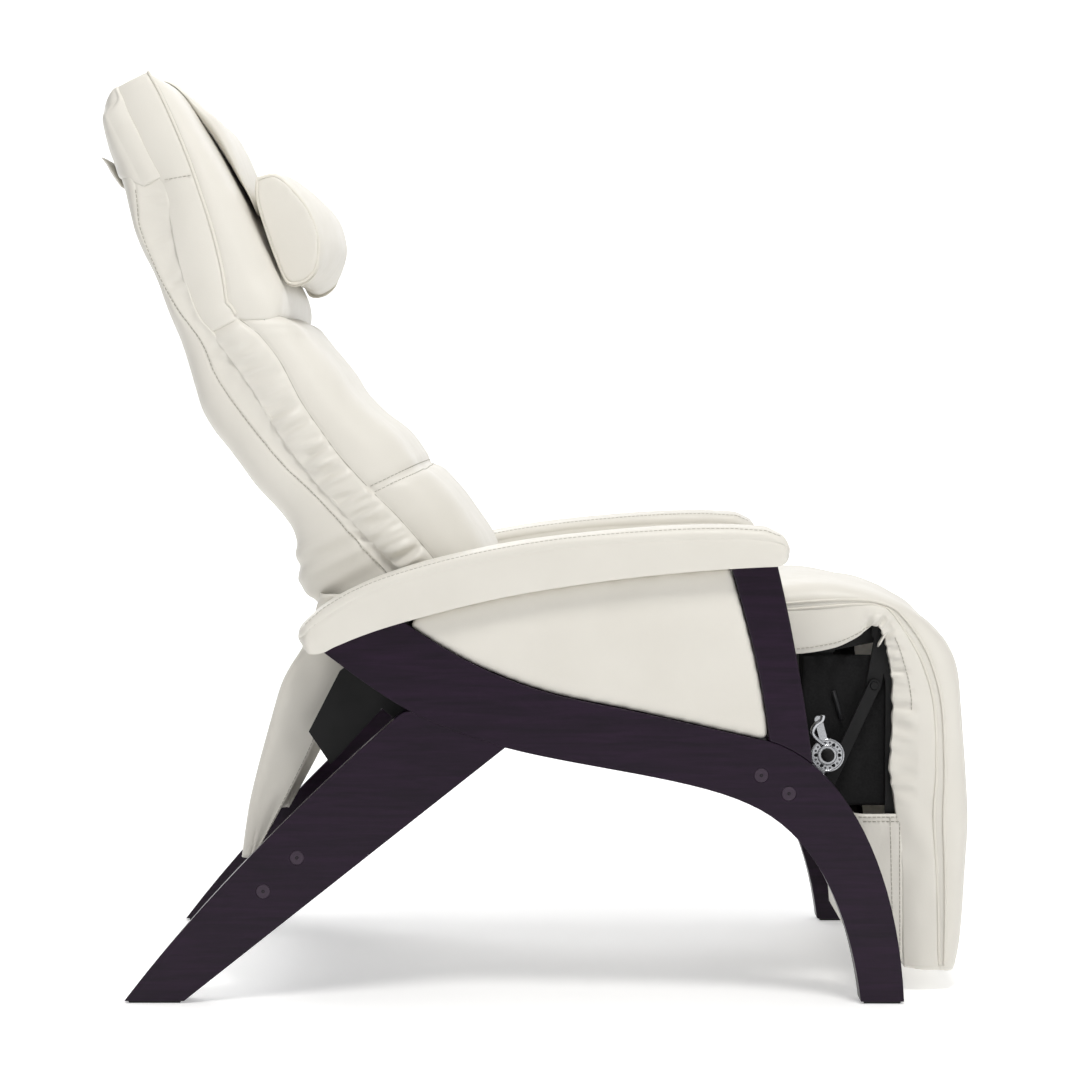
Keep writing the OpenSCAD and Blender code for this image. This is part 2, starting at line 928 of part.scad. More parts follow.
// Padded leather shell that closes the back from behind
module back_cover() {
    color("#e9e5da")
        on_back()
            difference() {
                slab(-pad_y, pad_y)
                    polygon(concat([[cover_front_w, 812]], part_of(back_rear, 3, back_rear_last),
                        [[cover_front_w, 80]]));
                slab(-pad_y + 8, pad_y - 8)
                    polygon(concat([[cover_front_w + 1, 768]], cover_inner, [[cover_front_w + 1, 118]]));
            }
}

module pillow_strap() {
    color("#efece2")
        on_back()
            slab(-strap_y, strap_y)
                polygon(concat(strap_top, strap_foot));
}

module neck_pillow() {
    color("#f4f1e8")
        on_back()
            slab(-pillow_w / 2, pillow_w / 2)
                polygon(pillow_outline);
}

module pillow_weight() {
    color("#efece2")
        on_back()
            slab(-strap_y, strap_y)
                polygon(weight_outline);
}

rear_leg();  // rear_leg_R
left_of_mirror() rear_leg();  // rear_leg_L
side_beam();  // side_beam_R
left_of_mirror() side_beam();  // side_beam_L
front_post();  // front_post_R
left_of_mirror() front_post();  // front_post_L
side_panel();  // side_panel_R
left_of_mirror() side_panel();  // side_panel_L
armrest_pad();  // armrest_pad_R
left_of_mirror() armrest_pad();  // armrest_pad_L
arm_boards();
rear_cross_rail();
front_cross_rail();
frame_bolts();
bolt_caps();
foot_glides();
hip_brackets();
hip_pivots();
curtain_rod();
rear_curtain();
recline_gearbox();
control_box();
power_inlet();
control_panel();
torque_tube();
recline_links();
tilt_links();
seat_frame();
seat_webbing();
seat_cushion();
knee_roll();
liner_panels();
leg_gearbox();
seat_motor();
seat_motor_weight();
leg_drive_shaft();
leg_links();
leg_rest_frame();
calf_cushion();
leg_rest_cover();
back_frame();
back_webbing();
heating_pad();
head_cushion();
upper_lumbar_cushion();
lower_lumbar_cushion();
side_gussets();
back_cover();
upper_back_motor();
upper_motor_weight();
lower_back_motor();
lower_motor_weight();
pillow_strap();
neck_pillow();
pillow_weight();
keypad_button(0);  // recline_button
keypad_button(1);  // upright_button
keypad_button(2);  // leg_up_button
keypad_button(3);  // leg_down_button
keypad_button(4);  // massage_button
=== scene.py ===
"""Looks of a zero-gravity massage chair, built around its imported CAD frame.

R is the sitter's right (-Y), which the camera sees. Outlines of the back are given as (w, u)
= (forward of the hip, up the back), and all the others as (X, Z).

Each soft piece is a skin over closed rings. A ring starts at the middle of the outer face and
runs round by the right side, so a column of points is a line along the piece, and column -j
is column j's mirror image.
"""

import json
import math

import bmesh
import bpy
import numpy as np
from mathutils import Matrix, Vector, noise


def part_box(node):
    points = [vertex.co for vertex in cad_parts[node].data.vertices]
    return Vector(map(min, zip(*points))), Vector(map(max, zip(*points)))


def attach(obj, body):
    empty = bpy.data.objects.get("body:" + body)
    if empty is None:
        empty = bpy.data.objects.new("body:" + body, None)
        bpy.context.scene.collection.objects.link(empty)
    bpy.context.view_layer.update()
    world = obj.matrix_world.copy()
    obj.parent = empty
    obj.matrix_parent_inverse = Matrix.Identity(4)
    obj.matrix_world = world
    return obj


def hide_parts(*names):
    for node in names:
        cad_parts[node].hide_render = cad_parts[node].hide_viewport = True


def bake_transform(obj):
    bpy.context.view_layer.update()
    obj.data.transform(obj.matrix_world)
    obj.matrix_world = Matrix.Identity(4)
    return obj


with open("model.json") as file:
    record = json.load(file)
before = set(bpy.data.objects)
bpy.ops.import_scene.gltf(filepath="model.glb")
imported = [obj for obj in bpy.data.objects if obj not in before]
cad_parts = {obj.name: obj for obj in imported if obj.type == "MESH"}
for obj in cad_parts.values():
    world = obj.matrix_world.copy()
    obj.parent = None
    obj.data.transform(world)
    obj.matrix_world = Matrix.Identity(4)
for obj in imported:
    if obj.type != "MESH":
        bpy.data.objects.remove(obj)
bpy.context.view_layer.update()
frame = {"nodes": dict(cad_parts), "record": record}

MM = 0.001
LEAN = math.radians(26.6)  # of the back, as packed
PAD_Y = 256  # half width of the seat, back and leg rest
STITCH_PITCH, STITCH_LENGTH = 6.0, 4.2
JOINT = {j["name"]: j for j in frame["record"]["behaviour"]["joints"]}


def joint_xz(name):
    """A side-to-side joint's axis as (X, Z) in millimetres."""
    x, _, z = JOINT[name]["pos_m"]
    return np.array([x, z]) / MM


HIP = joint_xz("back_recline")
HUB = joint_xz("leg_crank_turn")
SIGN = {"R": -1, "L": 1}  # of Y on each side


# ---- curves

def smooth(points, per=6):
    """A smooth curve through every point."""
    p = [np.array(q, float) for q in points]
    out = []
    for i in range(len(p) - 1):
        a, b, c, d = p[max(i - 1, 0)], p[i], p[i + 1], p[min(i + 2, len(p) - 1)]
        for k in range(per):
            t = k / per
            out.append((2 * b + (c - a) * t + (2 * a - 5 * b + 4 * c - d) * t * t
                        + (3 * b - a - 3 * c + d) * t ** 3) / 2)
    out.append(p[-1])
    return np.array(out)


def bezier(a, b, c, d, n=16):
    """n + 1 points of a cubic curve from a to d, pulled by b and c."""
    t = np.linspace(0, 1, n + 1)[:, None]
    a, b, c, d = (np.array(q, float) for q in (a, b, c, d))
    return (1 - t) ** 3 * a + 3 * (1 - t) ** 2 * t * b + 3 * (1 - t) * t * t * c + t ** 3 * d


def lengths(curve):
    """Distance along a curve at each of its points."""
    steps = np.linalg.norm(np.diff(curve, axis=0), axis=1)
    return np.concatenate([[0], np.cumsum(steps)])


def spaced(curve, n):
    """n points at even distances along a curve."""
    s = lengths(curve)
    at = np.linspace(0, s[-1], n)
    return np.column_stack([np.interp(at, s, curve[:, k]) for k in range(curve.shape[1])])


def by_height(points):
    """A function from height up the back to distance forward."""
    c = smooth(points)
    c = c[np.argsort(c[:, 1])]
    return lambda u: float(np.interp(u, c[:, 1], c[:, 0]))


def inset(d, r):
    """How far a rounded edge of radius r has drawn in, at distance d from its end."""
    if d >= r:
        return 0.0
    return r - math.sqrt(max(r * r - (r - d) ** 2, 0.0))


def on_back(w, u, y):
    """A point of the leaning back, in millimetres."""
    c, s = math.cos(LEAN), math.sin(LEAN)
    return np.array([HIP[0] + c * w - s * u, y, HIP[1] + s * w + c * u])


# ---- meshes

def make_mesh(name, verts, faces, material):
    """A mesh object from points in millimetres."""
    mesh = bpy.data.meshes.new(name)
    mesh.from_pydata([tuple(np.asarray(v, float) * MM) for v in verts], [], faces)
    mesh.validate()
    obj = bpy.data.objects.new(name, mesh)
    bpy.context.scene.collection.objects.link(obj)
    mesh.materials.append(material)
    bm = bmesh.new()
    bm.from_mesh(mesh)
    bmesh.ops.recalc_face_normals(bm, faces=bm.faces)
    bm.to_mesh(mesh)
    bm.free()
    for p in mesh.polygons:
        p.use_smooth = True
    return obj


def skin(name, rings, material, caps=True, closed=True):
    """Quads over rings of equal length; the rings' points come first in the mesh."""
    rings = np.array(rings, float)
    n, m = rings.shape[:2]
    verts = list(rings.reshape(-1, 3))
    faces = []
    for i in range(n - 1):
        for j in range(m if closed else m - 1):
            k = (j + 1) % m
            faces.append((i * m + j, i * m + k, (i + 1) * m + k, (i + 1) * m + j))
    if caps:
        for end in (0, n - 1):
            ring = rings[end]
            mid = ring.mean(axis=0)
            before = [end * m + j for j in range(m)]
            for t in (0.85, 0.6, 0.3):
                start = len(verts)
                verts.extend(mid + (ring - mid) * t)
                for j in range(m):
                    k = (j + 1) % m
                    faces.append((before[j], before[k], start + k, start + j))
                before = [start + j for j in range(m)]
            verts.append(mid)
            for j in range(m):
                faces.append((before[j], before[(j + 1) % m], len(verts) - 1))
    obj = make_mesh(name, verts, faces, material)
    obj["rings"], obj["across"], obj["side_column"] = n, m, m // 4
    return obj


def both_halves(half):
    """A closed ring from its right half, which starts and ends on the middle plane."""
    half = np.array(half, float)
    other = half[-2:0:-1].copy()
    other[:, 1] *= -1
    return np.vstack([half, other])


def points_of(obj):
    """All of a piece's points in millimetres."""
    co = np.zeros(len(obj.data.vertices) * 3)
    obj.data.vertices.foreach_get("co", co)
    return co.reshape(-1, 3) / MM


def set_points(obj, co):
    """Moves all of a piece's points to co, in millimetres."""
    obj.data.vertices.foreach_set("co", (np.asarray(co) * MM).ravel())
    obj.data.update()


def grid(obj):
    """A skinned piece's points in millimetres, as rings by points round each ring."""
    n, m = obj["rings"], obj["across"]
    return points_of(obj)[:n * m].reshape(n, m, 3)


def column(obj, j, first=0, last=None):
    """One lengthwise line of a skinned piece, between two of its rings."""
    return grid(obj)[first:last, j % obj["across"]]


def push(obj, amount):
    """Moves a skinned piece's points along their normals by amount[ring, point] millimetres."""
    n, m = obj["rings"], obj["across"]
    co = points_of(obj)
    normals = np.array([v.normal for v in obj.data.vertices])[:n * m]
    co[:n * m] += normals * np.asarray(amount).reshape(-1, 1)
    set_points(obj, co)


def between(obj, a, b):
    """Weight that rises from 0 at columns a and b of both halves of a piece to 1 between them."""
    m = obj["across"]
    j = np.arange(a, b + 1)
    w = np.zeros(m)
    w[j] = np.sin(math.pi * (j - a) / (b - a))
    w[(m - j) % m] = w[j]
    return np.tile(w, (obj["rings"], 1))


def outer_face(obj):
    """Weight of 1 from one edge seam of a cushion over its outer face to the other."""
    w = np.zeros((obj["rings"], obj["across"]))
    w[:, :obj["seam"] + 1] = w[:, -obj["seam"]:] = 1
    return w


def whole(obj):
    """Weight of 1 everywhere."""
    return np.ones((obj["rings"], obj["across"]))


def band(x, at, width):
    """Weight that fades on both sides of x = at."""
    return np.exp(-((x - at) / width) ** 2)


def near(obj, column_index, reach):
    """Weight that fades with distance, in columns, from one column of both halves."""
    m = obj["across"]
    j = np.minimum(np.arange(m), m - np.arange(m))
    return np.tile(band(j, column_index, reach), (obj["rings"], 1))


def fold(obj, weight, along, across, amount, seed=0.0):
    """Soft folds from stretched noise; along and across are their sizes in millimetres."""
    g = grid(obj)
    n, m = g.shape[:2]
    s = lengths(g[:, obj["side_column"]])
    ring = g[n // 2]
    t = lengths(np.vstack([ring, ring[:1]]))
    t = np.where(t[:-1] > t[-1] / 2, t[:-1] - t[-1], t[:-1])
    field = np.zeros((n, m))
    for i, j in zip(*np.nonzero(weight > 0.02)):
        field[i, j] = noise.noise(Vector((s[i] / along, t[j] / across, seed)))
    push(obj, field * weight * amount * 1.6)


def subdivide(obj):
    """Smooths a piece by one level of subdivision."""
    mod = obj.modifiers.new("subdivision", "SUBSURF")
    mod.levels = mod.render_levels = 1


def tubes(name, paths, radius, material, sides=8, closed=False):
    """Round tubes along paths of points, as one piece."""
    verts, faces = [], []
    for path in paths:
        path = np.array(path, float)
        n = len(path)
        ahead = np.roll(path, -1, axis=0) - np.roll(path, 1, axis=0)
        if not closed:
            ahead[0], ahead[-1] = path[1] - path[0], path[-1] - path[-2]
        start = len(verts)
        up = np.array([0.0, 1.0, 0.0])
        for p, d in zip(path, ahead):
            d = d / (np.linalg.norm(d) + 1e-9)
            side = np.cross(d, up)
            if np.linalg.norm(side) < 0.2:
                side = np.cross(d, [1.0, 0, 0])
            side /= np.linalg.norm(side)
            up = np.cross(side, d)
            for k in range(sides):
                a = 2 * math.pi * k / sides
                verts.append(p + radius * (math.cos(a) * side + math.sin(a) * up))
        for i in range(n if closed else n - 1):
            i2 = (i + 1) % n
            for k in range(sides):
                k2 = (k + 1) % sides
                faces.append((start + i * sides + k, start + i * sides + k2,
                              start + i2 * sides + k2, start + i2 * sides + k))
        if not closed:
            faces.append(tuple(start + k for k in range(sides)))
            faces.append(tuple(start + (n - 1) * sides + k for k in range(sides)))
    return make_mesh(name, verts, faces, material)


def mirrored(path):
    """The same path on the other side."""
    return np.array(path, float) * [1, -1, 1]


def stitches(name, paths, material, radius=0.5):
    """Short threads laid end to end along paths, as one piece."""
    pieces = []
    for path in paths:
        s = lengths(path)
        for i in range(int(s[-1] // STITCH_PITCH)):
            at = (i + 0.5) * STITCH_PITCH + np.array([-0.5, -0.2, 0.2, 0.5]) * STITCH_LENGTH
            pieces.append(np.column_stack([np.interp(at, s, path[:, k]) for k in range(3)]))
    return tubes(name, pieces, radius, material, sides=5)


# ---- materials

def material(name, inputs):
    """A new material with some of its shader's inputs set, its shader and its node tree."""
    m = bpy.data.materials.new(name)
    m.use_nodes = True
    shader = m.node_tree.nodes["Principled BSDF"]
    for key, value in inputs.items():
        shader.inputs[key].default_value = value
    return m, shader, m.node_tree


def node(tree, kind, **values):
    """A new node with its inputs, or else its settings, given by name."""
    n = tree.nodes.new(kind)
    for key, value in values.items():
        if key in n.inputs:
            n.inputs[key].default_value = value
        else:
            setattr(n, key, value)
    return n


def object_coords(tree, scale=(1, 1, 1)):
    """The piece's own coordinates, in metres."""
    coord = tree.nodes.new("ShaderNodeTexCoord")
    mapping = tree.nodes.new("ShaderNodeMapping")
    mapping.inputs["Scale"].default_value = scale
    tree.links.new(coord.outputs["Object"], mapping.inputs["Vector"])
    return mapping.outputs["Vector"]


def texture(tree, at, kind, **values):
    """A texture node over the coordinates at."""
    n = node(tree, "ShaderNodeTex" + kind, **values)
    tree.links.new(at, n.inputs["Vector"])
    return n


def ramp(tree, source, target, stops):
    """Feeds target with colours between two (value, colour) stops of a pattern."""
    r = tree.nodes.new("ShaderNodeValToRGB")
    for element, (at, colour) in zip(r.color_ramp.elements, stops):
        element.position, element.color = at, (*colour, 1)
    tree.links.new(source, r.inputs["Fac"])
    tree.links.new(r.outputs["Color"], target)


def spread(tree, source, target, low, high, at=(0.3, 0.7)):
    """Feeds target with low to high where a pattern goes from at[0] to at[1]."""
    r = node(tree, "ShaderNodeMapRange", **{
        "From Min": at[0], "From Max": at[1], "To Min": low, "To Max": high})
    tree.links.new(source, r.inputs["Value"])
    tree.links.new(r.outputs["Result"], target)


def bump(tree, shader, layers):
    """Stacks bump layers: (height output, strength, distance in metres)."""
    normal = None
    for height, strength, distance in layers:
        b = node(tree, "ShaderNodeBump", Strength=strength, Distance=distance)
        tree.links.new(height, b.inputs["Height"])
        if normal:
            tree.links.new(normal, b.inputs["Normal"])
        normal = b.outputs["Normal"]
    tree.links.new(normal, shader.inputs["Normal"])


def leather(name, pale, dark, grain=900):
    """Pebbled upholstery leather with a little sheen."""
    m, shader, tree = material(name, {"Specular IOR Level": 0.42, "Sheen Weight": 0.08})
    at = object_coords(tree)
    cloud = texture(tree, at, "Noise", Scale=9.0, Detail=4.0)
    pebble = texture(tree, at, "Voronoi", Scale=float(grain), feature="SMOOTH_F1")
    pores = texture(tree, at, "Noise", Scale=2.2 * grain, Detail=2.0)
    crease = texture(tree, at, "Noise", Scale=55.0, Detail=5.0, Roughness=0.6)
    ramp(tree, cloud.outputs["Fac"], shader.inputs["Base Color"], [(0.3, dark), (0.7, pale)])
    spread(tree, crease.outputs["Fac"], shader.inputs["Roughness"], 0.36, 0.5)
    bump(tree, shader, [(crease.outputs["Fac"], 0.25, 0.0008),
                        (pebble.outputs["Distance"], 0.22, 0.0003),
                        (pores.outputs["Fac"], 0.12, 0.0001)])
    return m


def lacquered_wood(name, light, dark):
    """Espresso-stained wood under satin lacquer, its grain along X."""
    m, shader, tree = material(name, {
        "Specular IOR Level": 0.2, "Coat Weight": 0.08, "Coat Roughness": 0.25})
    at = object_coords(tree, (1.6, 14, 22))
    grain = texture(tree, at, "Noise", Scale=6.0, Detail=7.0, Roughness=0.62, Distortion=0.6)
    pores = texture(tree, at, "Noise", Scale=42.0, Detail=3.0)
    ramp(tree, grain.outputs["Fac"], shader.inputs["Base Color"], [(0.34, dark), (0.66, light)])
    spread(tree, pores.outputs["Fac"], shader.inputs["Roughness"], 0.3, 0.42)
    bump(tree, shader, [(grain.outputs["Fac"], 0.1, 0.0004), (pores.outputs["Fac"], 0.08, 0.0002)])
    return m


def powder_coat(name, colour, rough, speckle=1500):
    """Painted or moulded surface with a fine texture."""
    m, shader, tree = material(name, {"Base Color": (*colour, 1), "Specular IOR Level": 0.3})
    at = object_coords(tree)
    fine = texture(tree, at, "Noise", Scale=float(speckle), Detail=2.0)
    worn = texture(tree, at, "Noise", Scale=30.0, Detail=5.0)
    spread(tree, worn.outputs["Fac"], shader.inputs["Roughness"], rough - 0.07, rough + 0.08)
    bump(tree, shader, [(fine.outputs["Fac"], 0.15, 0.0002)])
    return m


def brushed_metal(name, colour, rough):
    """Turned or plated steel."""
    m, shader, tree = material(name, {"Base Color": (*colour, 1), "Metallic": 1.0})
    lines = texture(tree, object_coords(tree, (1, 1, 18)), "Noise", Scale=160.0, Detail=5.0)
    spread(tree, lines.outputs["Fac"], shader.inputs["Roughness"], rough - 0.08, rough + 0.1)
    bump(tree, shader, [(lines.outputs["Fac"], 0.08, 0.0002)])
    return m


def woven(name, colour, pitch, rough=0.75):
    """Plain weave: crossed waves as bump, so it needs no UV map."""
    m, shader, tree = material(name, {"Base Color": (*colour, 1), "Specular IOR Level": 0.25})
    at = object_coords(tree)
    waves = [texture(tree, at, "Wave", Scale=0.31 / pitch, bands_direction=axis) for axis in "XYZ"]
    fuzz = texture(tree, at, "Noise", Scale=400.0, Detail=3.0)
    spread(tree, fuzz.outputs["Fac"], shader.inputs["Roughness"], rough - 0.08, rough + 0.1)
    bump(tree, shader, [*((w.outputs["Fac"], 0.25, 0.0003) for w in waves),
                        (fuzz.outputs["Fac"], 0.2, 0.0002)])
    return m


def plywood(name):
    """Layered board."""
    m, shader, tree = material(name, {})
    at = object_coords(tree)
    plies = texture(tree, at, "Wave", Scale=90.0, Distortion=0.4, bands_direction="Z")
    grain = texture(tree, at, "Noise", Scale=35.0, Detail=5.0)
    ramp(tree, plies.outputs["Fac"], shader.inputs["Base Color"],
         [(0.2, (0.30, 0.17, 0.08)), (0.8, (0.52, 0.34, 0.18))])
    spread(tree, grain.outputs["Fac"], shader.inputs["Roughness"], 0.5, 0.7)
    bump(tree, shader, [(grain.outputs["Fac"], 0.2, 0.0003)])
    return m


LEATHER = leather("white_leather", (0.73, 0.705, 0.645), (0.695, 0.67, 0.61))
PIPING = leather("piping_leather", (0.74, 0.71, 0.64), (0.70, 0.67, 0.60), grain=1200)
THREAD = woven("thread", (0.42, 0.40, 0.35), pitch=0.0006, rough=0.6)
WOOD = lacquered_wood("espresso_wood", (0.015, 0.0045, 0.018), (0.007, 0.0022, 0.009))
CAP_WOOD = lacquered_wood("cap_wood", (0.050, 0.034, 0.052), (0.036, 0.024, 0.038))
STEEL_BLACK = powder_coat("black_powder_coat", (0.0025, 0.0025, 0.0028), rough=0.55)
STEEL_LINK = powder_coat("black_links", (0.0035, 0.0035, 0.004), rough=0.55)
STEEL_BRIGHT = brushed_metal("bright_zinc", (0.48, 0.49, 0.51), rough=0.24)
GEARBOX = powder_coat("cast_grey", (0.014, 0.014, 0.016), rough=0.5, speckle=600)
PLASTIC = powder_coat("black_plastic", (0.008, 0.008, 0.009), rough=0.4)
BUTTON = powder_coat("grey_button", (0.30, 0.31, 0.33), rough=0.4)
LINER = woven("black_liner", (0.003, 0.003, 0.0034), pitch=0.0018, rough=0.7)
WEBBING = woven("grey_webbing", (0.06, 0.06, 0.065), pitch=0.003)
HEATER = woven("heating_cloth", (0.16, 0.035, 0.03), pitch=0.004)
PLYWOOD = plywood("plywood")
SLOT_MATERIAL = {
    "wood": WOOD, "plywood": PLYWOOD, "leather": LEATHER, "steel_black": STEEL_BLACK,
    "steel_links": STEEL_LINK, "steel_bright": STEEL_BRIGHT, "gearbox": GEARBOX,
    "plastic_black": PLASTIC, "button_grey": BUTTON, "liner": LINER, "webbing": WEBBING,
    "heater": HEATER,
}


# ---- camera, light, floor

def set_stage():
    """Camera at the photograph's angle, soft studio lamps and a white floor that sweeps up."""
    scene = bpy.context.scene
    scene.view_settings.view_transform = "Standard"
    camera = bpy.data.cameras.new("camera")
    camera.lens, camera.sensor_width = 100.5, 36
    camera.clip_start, camera.clip_end = 0.05, 60
    eye = bpy.data.objects.new("camera", camera)
    scene.collection.objects.link(eye)
    eye.location = (0.026, -4.142, 0.735)
    eye.rotation_euler = (math.radians(90 - 2.2), 0, math.radians(0.3))
    scene.camera = eye

    world = bpy.data.worlds.new("studio")
    scene.world = world
    world.use_nodes = True
    sky = world.node_tree.nodes["Background"].inputs
    sky["Color"].default_value, sky["Strength"].default_value = (1, 1, 1, 1), 0.34

    middle = Vector((0, 0, 0.55))
    for name, place, size, power, colour in [
        ("key", (0.5, -1.9, 3.2), 1.0, 54, (1, 0.985, 0.96)),
        ("fill", (2.6, -2.6, 1.3), 2.0, 15, (0.97, 0.985, 1)),
        ("top", (-0.4, 0.3, 3.1), 2.2, 22, (1, 1, 1)),
        ("back", (-1.2, 2.8, 2.2), 2.0, 18, (1, 1, 1)),
    ]:
        lamp = bpy.data.lights.new(name, "AREA")
        lamp.shape, lamp.size, lamp.energy, lamp.color = "DISK", size, power, colour
        o = bpy.data.objects.new(name, lamp)
        scene.collection.objects.link(o)
        o.location = place
        o.rotation_euler = (middle - Vector(place)).to_track_quat("-Z", "Y").to_euler()

    pale, shader, tree = material("studio_floor", {
        "Base Color": (0.95, 0.95, 0.95, 1), "Emission Color": (1, 1, 1, 1)})
    at = object_coords(tree)
    mottle = texture(tree, at, "Noise", Scale=3.0, Detail=3.0)
    split = tree.nodes.new("ShaderNodeSeparateXYZ")
    tree.links.new(at, split.inputs["Vector"])
    # the lamps don't reach the backdrop, so it glows more than the floor under the chair
    spread(tree, split.outputs["Y"], shader.inputs["Emission Strength"], 0.36, 0.72, at=(1.5, 6.0))
    spread(tree, mottle.outputs["Fac"], shader.inputs["Roughness"], 0.6, 0.8)
    wall = [tuple(q) for q in bezier([9000, 0], [11000, 0], [12000, 1000], [12000, 3000], 12)]
    sweep = [(-14000, 0), (0, 0), *wall, (12000, 16000)]
    floor = skin("studio_floor", [[(x, y, z) for x in (-14000, 14000)] for y, z in sweep], pale,
                 caps=False, closed=False)


set_stage()


# ---- CAD nodes

def add_weld(obj):
    """Joins the split corners of a CAD mesh."""
    weld = obj.modifiers.new("weld", "WELD")
    weld.merge_threshold = 0.02 * MM


def ease_edges(obj, width):
    """Rounds a CAD node's sharp edges without touching its mesh."""
    add_weld(obj)
    flats = obj.modifiers.new("flats", "DECIMATE")
    flats.decimate_type, flats.angle_limit = "DISSOLVE", math.radians(0.4)
    bevel = obj.modifiers.new("eased_edges", "BEVEL")
    bevel.width, bevel.segments = width * MM, 3
    bevel.limit_method, bevel.angle_limit = "ANGLE", math.radians(35)
    normals = obj.modifiers.new("normals", "WEIGHTED_NORMAL")
    normals.weight = 90
    for p in obj.data.polygons:
        p.use_smooth = True


EASED = {  # radius of each node's edges, millimetres; _R and _L are left off
    "rear_leg": 3.6, "side_beam": 3.6, "front_post": 2.6,
    "recline_gearbox": 2.5, "leg_gearbox": 2.5, "control_box": 2.5,
    "front_cross_rail": 1.5, "rear_cross_rail": 1.5, "control_panel": 1.2,
    "bolt_caps": 0.8, "seat_frame": 0.8, "leg_rest_frame": 0.8, "back_frame": 0.8,
    "recline_links": 0.8, "tilt_links": 0.8, "leg_links": 0.8, "foot_glides": 0.8,
    "hip_brackets": 0.6, "torque_tube": 0.6, "leg_drive_shaft": 0.5,
}
BUTTON_EDGE = 0.8
for entry in frame["record"]["subparts"]:
    cad = frame["nodes"][entry["node"]]
    cad.data.materials.clear()
    cad.data.materials.append(SLOT_MATERIAL[entry["material_slot"]])
frame["nodes"]["bolt_caps"].data.materials[0] = CAP_WOOD
for name, cad in frame["nodes"].items():
    key = name.rsplit("_", 1)[0] if name[-2:] in ("_R", "_L") else name
    if key in EASED:
        ease_edges(cad, EASED[key])
    elif name.endswith("_button"):
        ease_edges(cad, BUTTON_EDGE)


# ---- soft pieces: shared shapes

def pad_half(outer, seam, inner, half, flat, crown, puff, counts, squareness=0.8, groove=1.6, hollow=0):
    """Right half of a cushion's section, from its outer face's middle round to its inner face's middle.

    outer, seam and inner are (X, Z) or (w, u) points: the crown's top, the edge seam at the
    side, and the inner edge of the side panel. half is the half width there. The edge seam is
    column counts[0] + counts[1], sunk by groove, and the inner edge counts[2] further on. The
    inner face is hollowed by that depth, for what is held inside."""
    outer, seam, inner = (np.array(q, float) for q in (outer, seam, inner))
    normal = (outer - inner) / (np.linalg.norm(outer - inner) + 1e-9)
    n_top, n_corner, n_side, n_in = counts
    pts = []
    for t in np.linspace(0, 1, n_top, endpoint=False):
        p = outer - normal * crown * t * t
        pts.append((p[0], -flat * t, p[1]))
    edge = outer - normal * crown
    for t in [*np.linspace(0, 0.9, n_corner - 1), 0.984]:
        a = t * math.pi / 2
        p = seam + (edge - seam) * math.cos(a) ** squareness
        pts.append((p[0], -(flat + (half - flat) * math.sin(a) ** squareness), p[1]))
    for t in [0, 0.06, *np.linspace(0.16, 0.88, n_side - 3), 0.97]:
        p = seam + (inner - seam) * t
        sink = groove if t == 0 else 0
        pts.append((p[0], -(half - sink + puff * math.sin(math.pi * t)), p[1]))
    for t in [0, 0.012, *np.linspace(0.1, 1, n_in - 2)]:
        p = inner + normal * hollow * min(max((t - 0.1) / 0.15, 0.0), 1.0)
        pts.append((p[0], -half * (1 - t), p[1]))
    return np.array(pts)


def cushion(obj, counts):
    """Notes the columns of a cushion's edge seam and of its side panel's inner edge."""
    obj["seam"] = obj["side_column"] = counts[0] + counts[1]
    obj["inner"] = obj["seam"] + counts[2]
    return obj


def finish_soft(obj, body, replaced):
    """Smooths a stuffed piece, rides it on its body and hides the CAD nodes it stands for."""
    subdivide(obj)
    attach(obj, body)
    if replaced:
        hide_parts(*replaced)


def trim(obj, body):
    """A seam, piping or small fitting that rides a body."""
    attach(obj, body)
    return obj


def both_seams(obj, j, first=0, last=None, out=0.0):
    """A lengthwise line of a cushion at column j of both its halves, moved outwards."""
    right = column(obj, j, first, last) - [0, out, 0]
    left = column(obj, -j, first, last) + [0, out, 0]
    return [right, left]


# ---- back

FRONT_HEAD = by_height([
    (2, 430), (6, 440), (16, 457), (25, 474), (30, 492), (31, 520), (31.5, 560), (31.5, 600),
    (30.5, 650), (29.5, 690), (27, 734), (25, 760), (20, 784), (11, 802), (0, 812), (-10, 816)])
FRONT_LUMBAR = by_height([
    (116, 14), (117, 40), (118, 60), (119, 84), (115, 116), (110, 149), (99, 186), (89, 203), (85, 223),
    (79, 257), (61, 296), (50, 332), (47, 365), (39, 399), (31, 430), (25, 444), (14, 457), (0, 468)])
HEAD_SEAM = by_height([
    (-53, 470), (-49, 491), (-32, 543), (-20, 595), (-12, 646), (-5, 703), (-1, 775), (-2, 809), (-4, 815)])
LUMBAR_SEAM = by_height([
    (58, 14), (48, 75), (29, 153), (12, 204), (-4, 260), (-11, 302), (-17, 348), (-18, 404), (-25, 442),
    (-31, 458), (-46, 487), (-52, 500)])
MID_SEAM = by_height([  # where the cushions' side panels meet the shell's
    (25, 14), (3, 86), (-39, 218), (-60, 320), (-66, 395), (-80, 474), (-87, 496), (-86, 527),
    (-75, 579), (-60, 632), (-50, 672), (-50, 685), (-51, 712), (-51, 762), (-48, 799), (-47, 815)])
REAR_SEAM = by_height([
    (-10, 60), (-20, 101), (-50, 213), (-76, 290), (-93, 369), (-100, 426), (-97, 474),
    (-107, 539), (-103, 631), (-92, 665), (-82, 692), (-78, 715)])
REAR = by_height([
    (-96, 84), (-107, 97), (-120, 126), (-115, 161), (-99, 202), (-112, 267), (-126, 332),
    (-132, 362), (-134, 393), (-130, 420), (-121, 472), (-114, 527), (-111, 582), (-107, 639),
    (-104, 668), (-98, 706), (-92, 745), (-87, 772), (-77, 796), (-63, 809), (-46, 816)])
BACK_COUNTS = (14, 12, 11, 9)  # columns of the outer face, edge, side panel and inner face
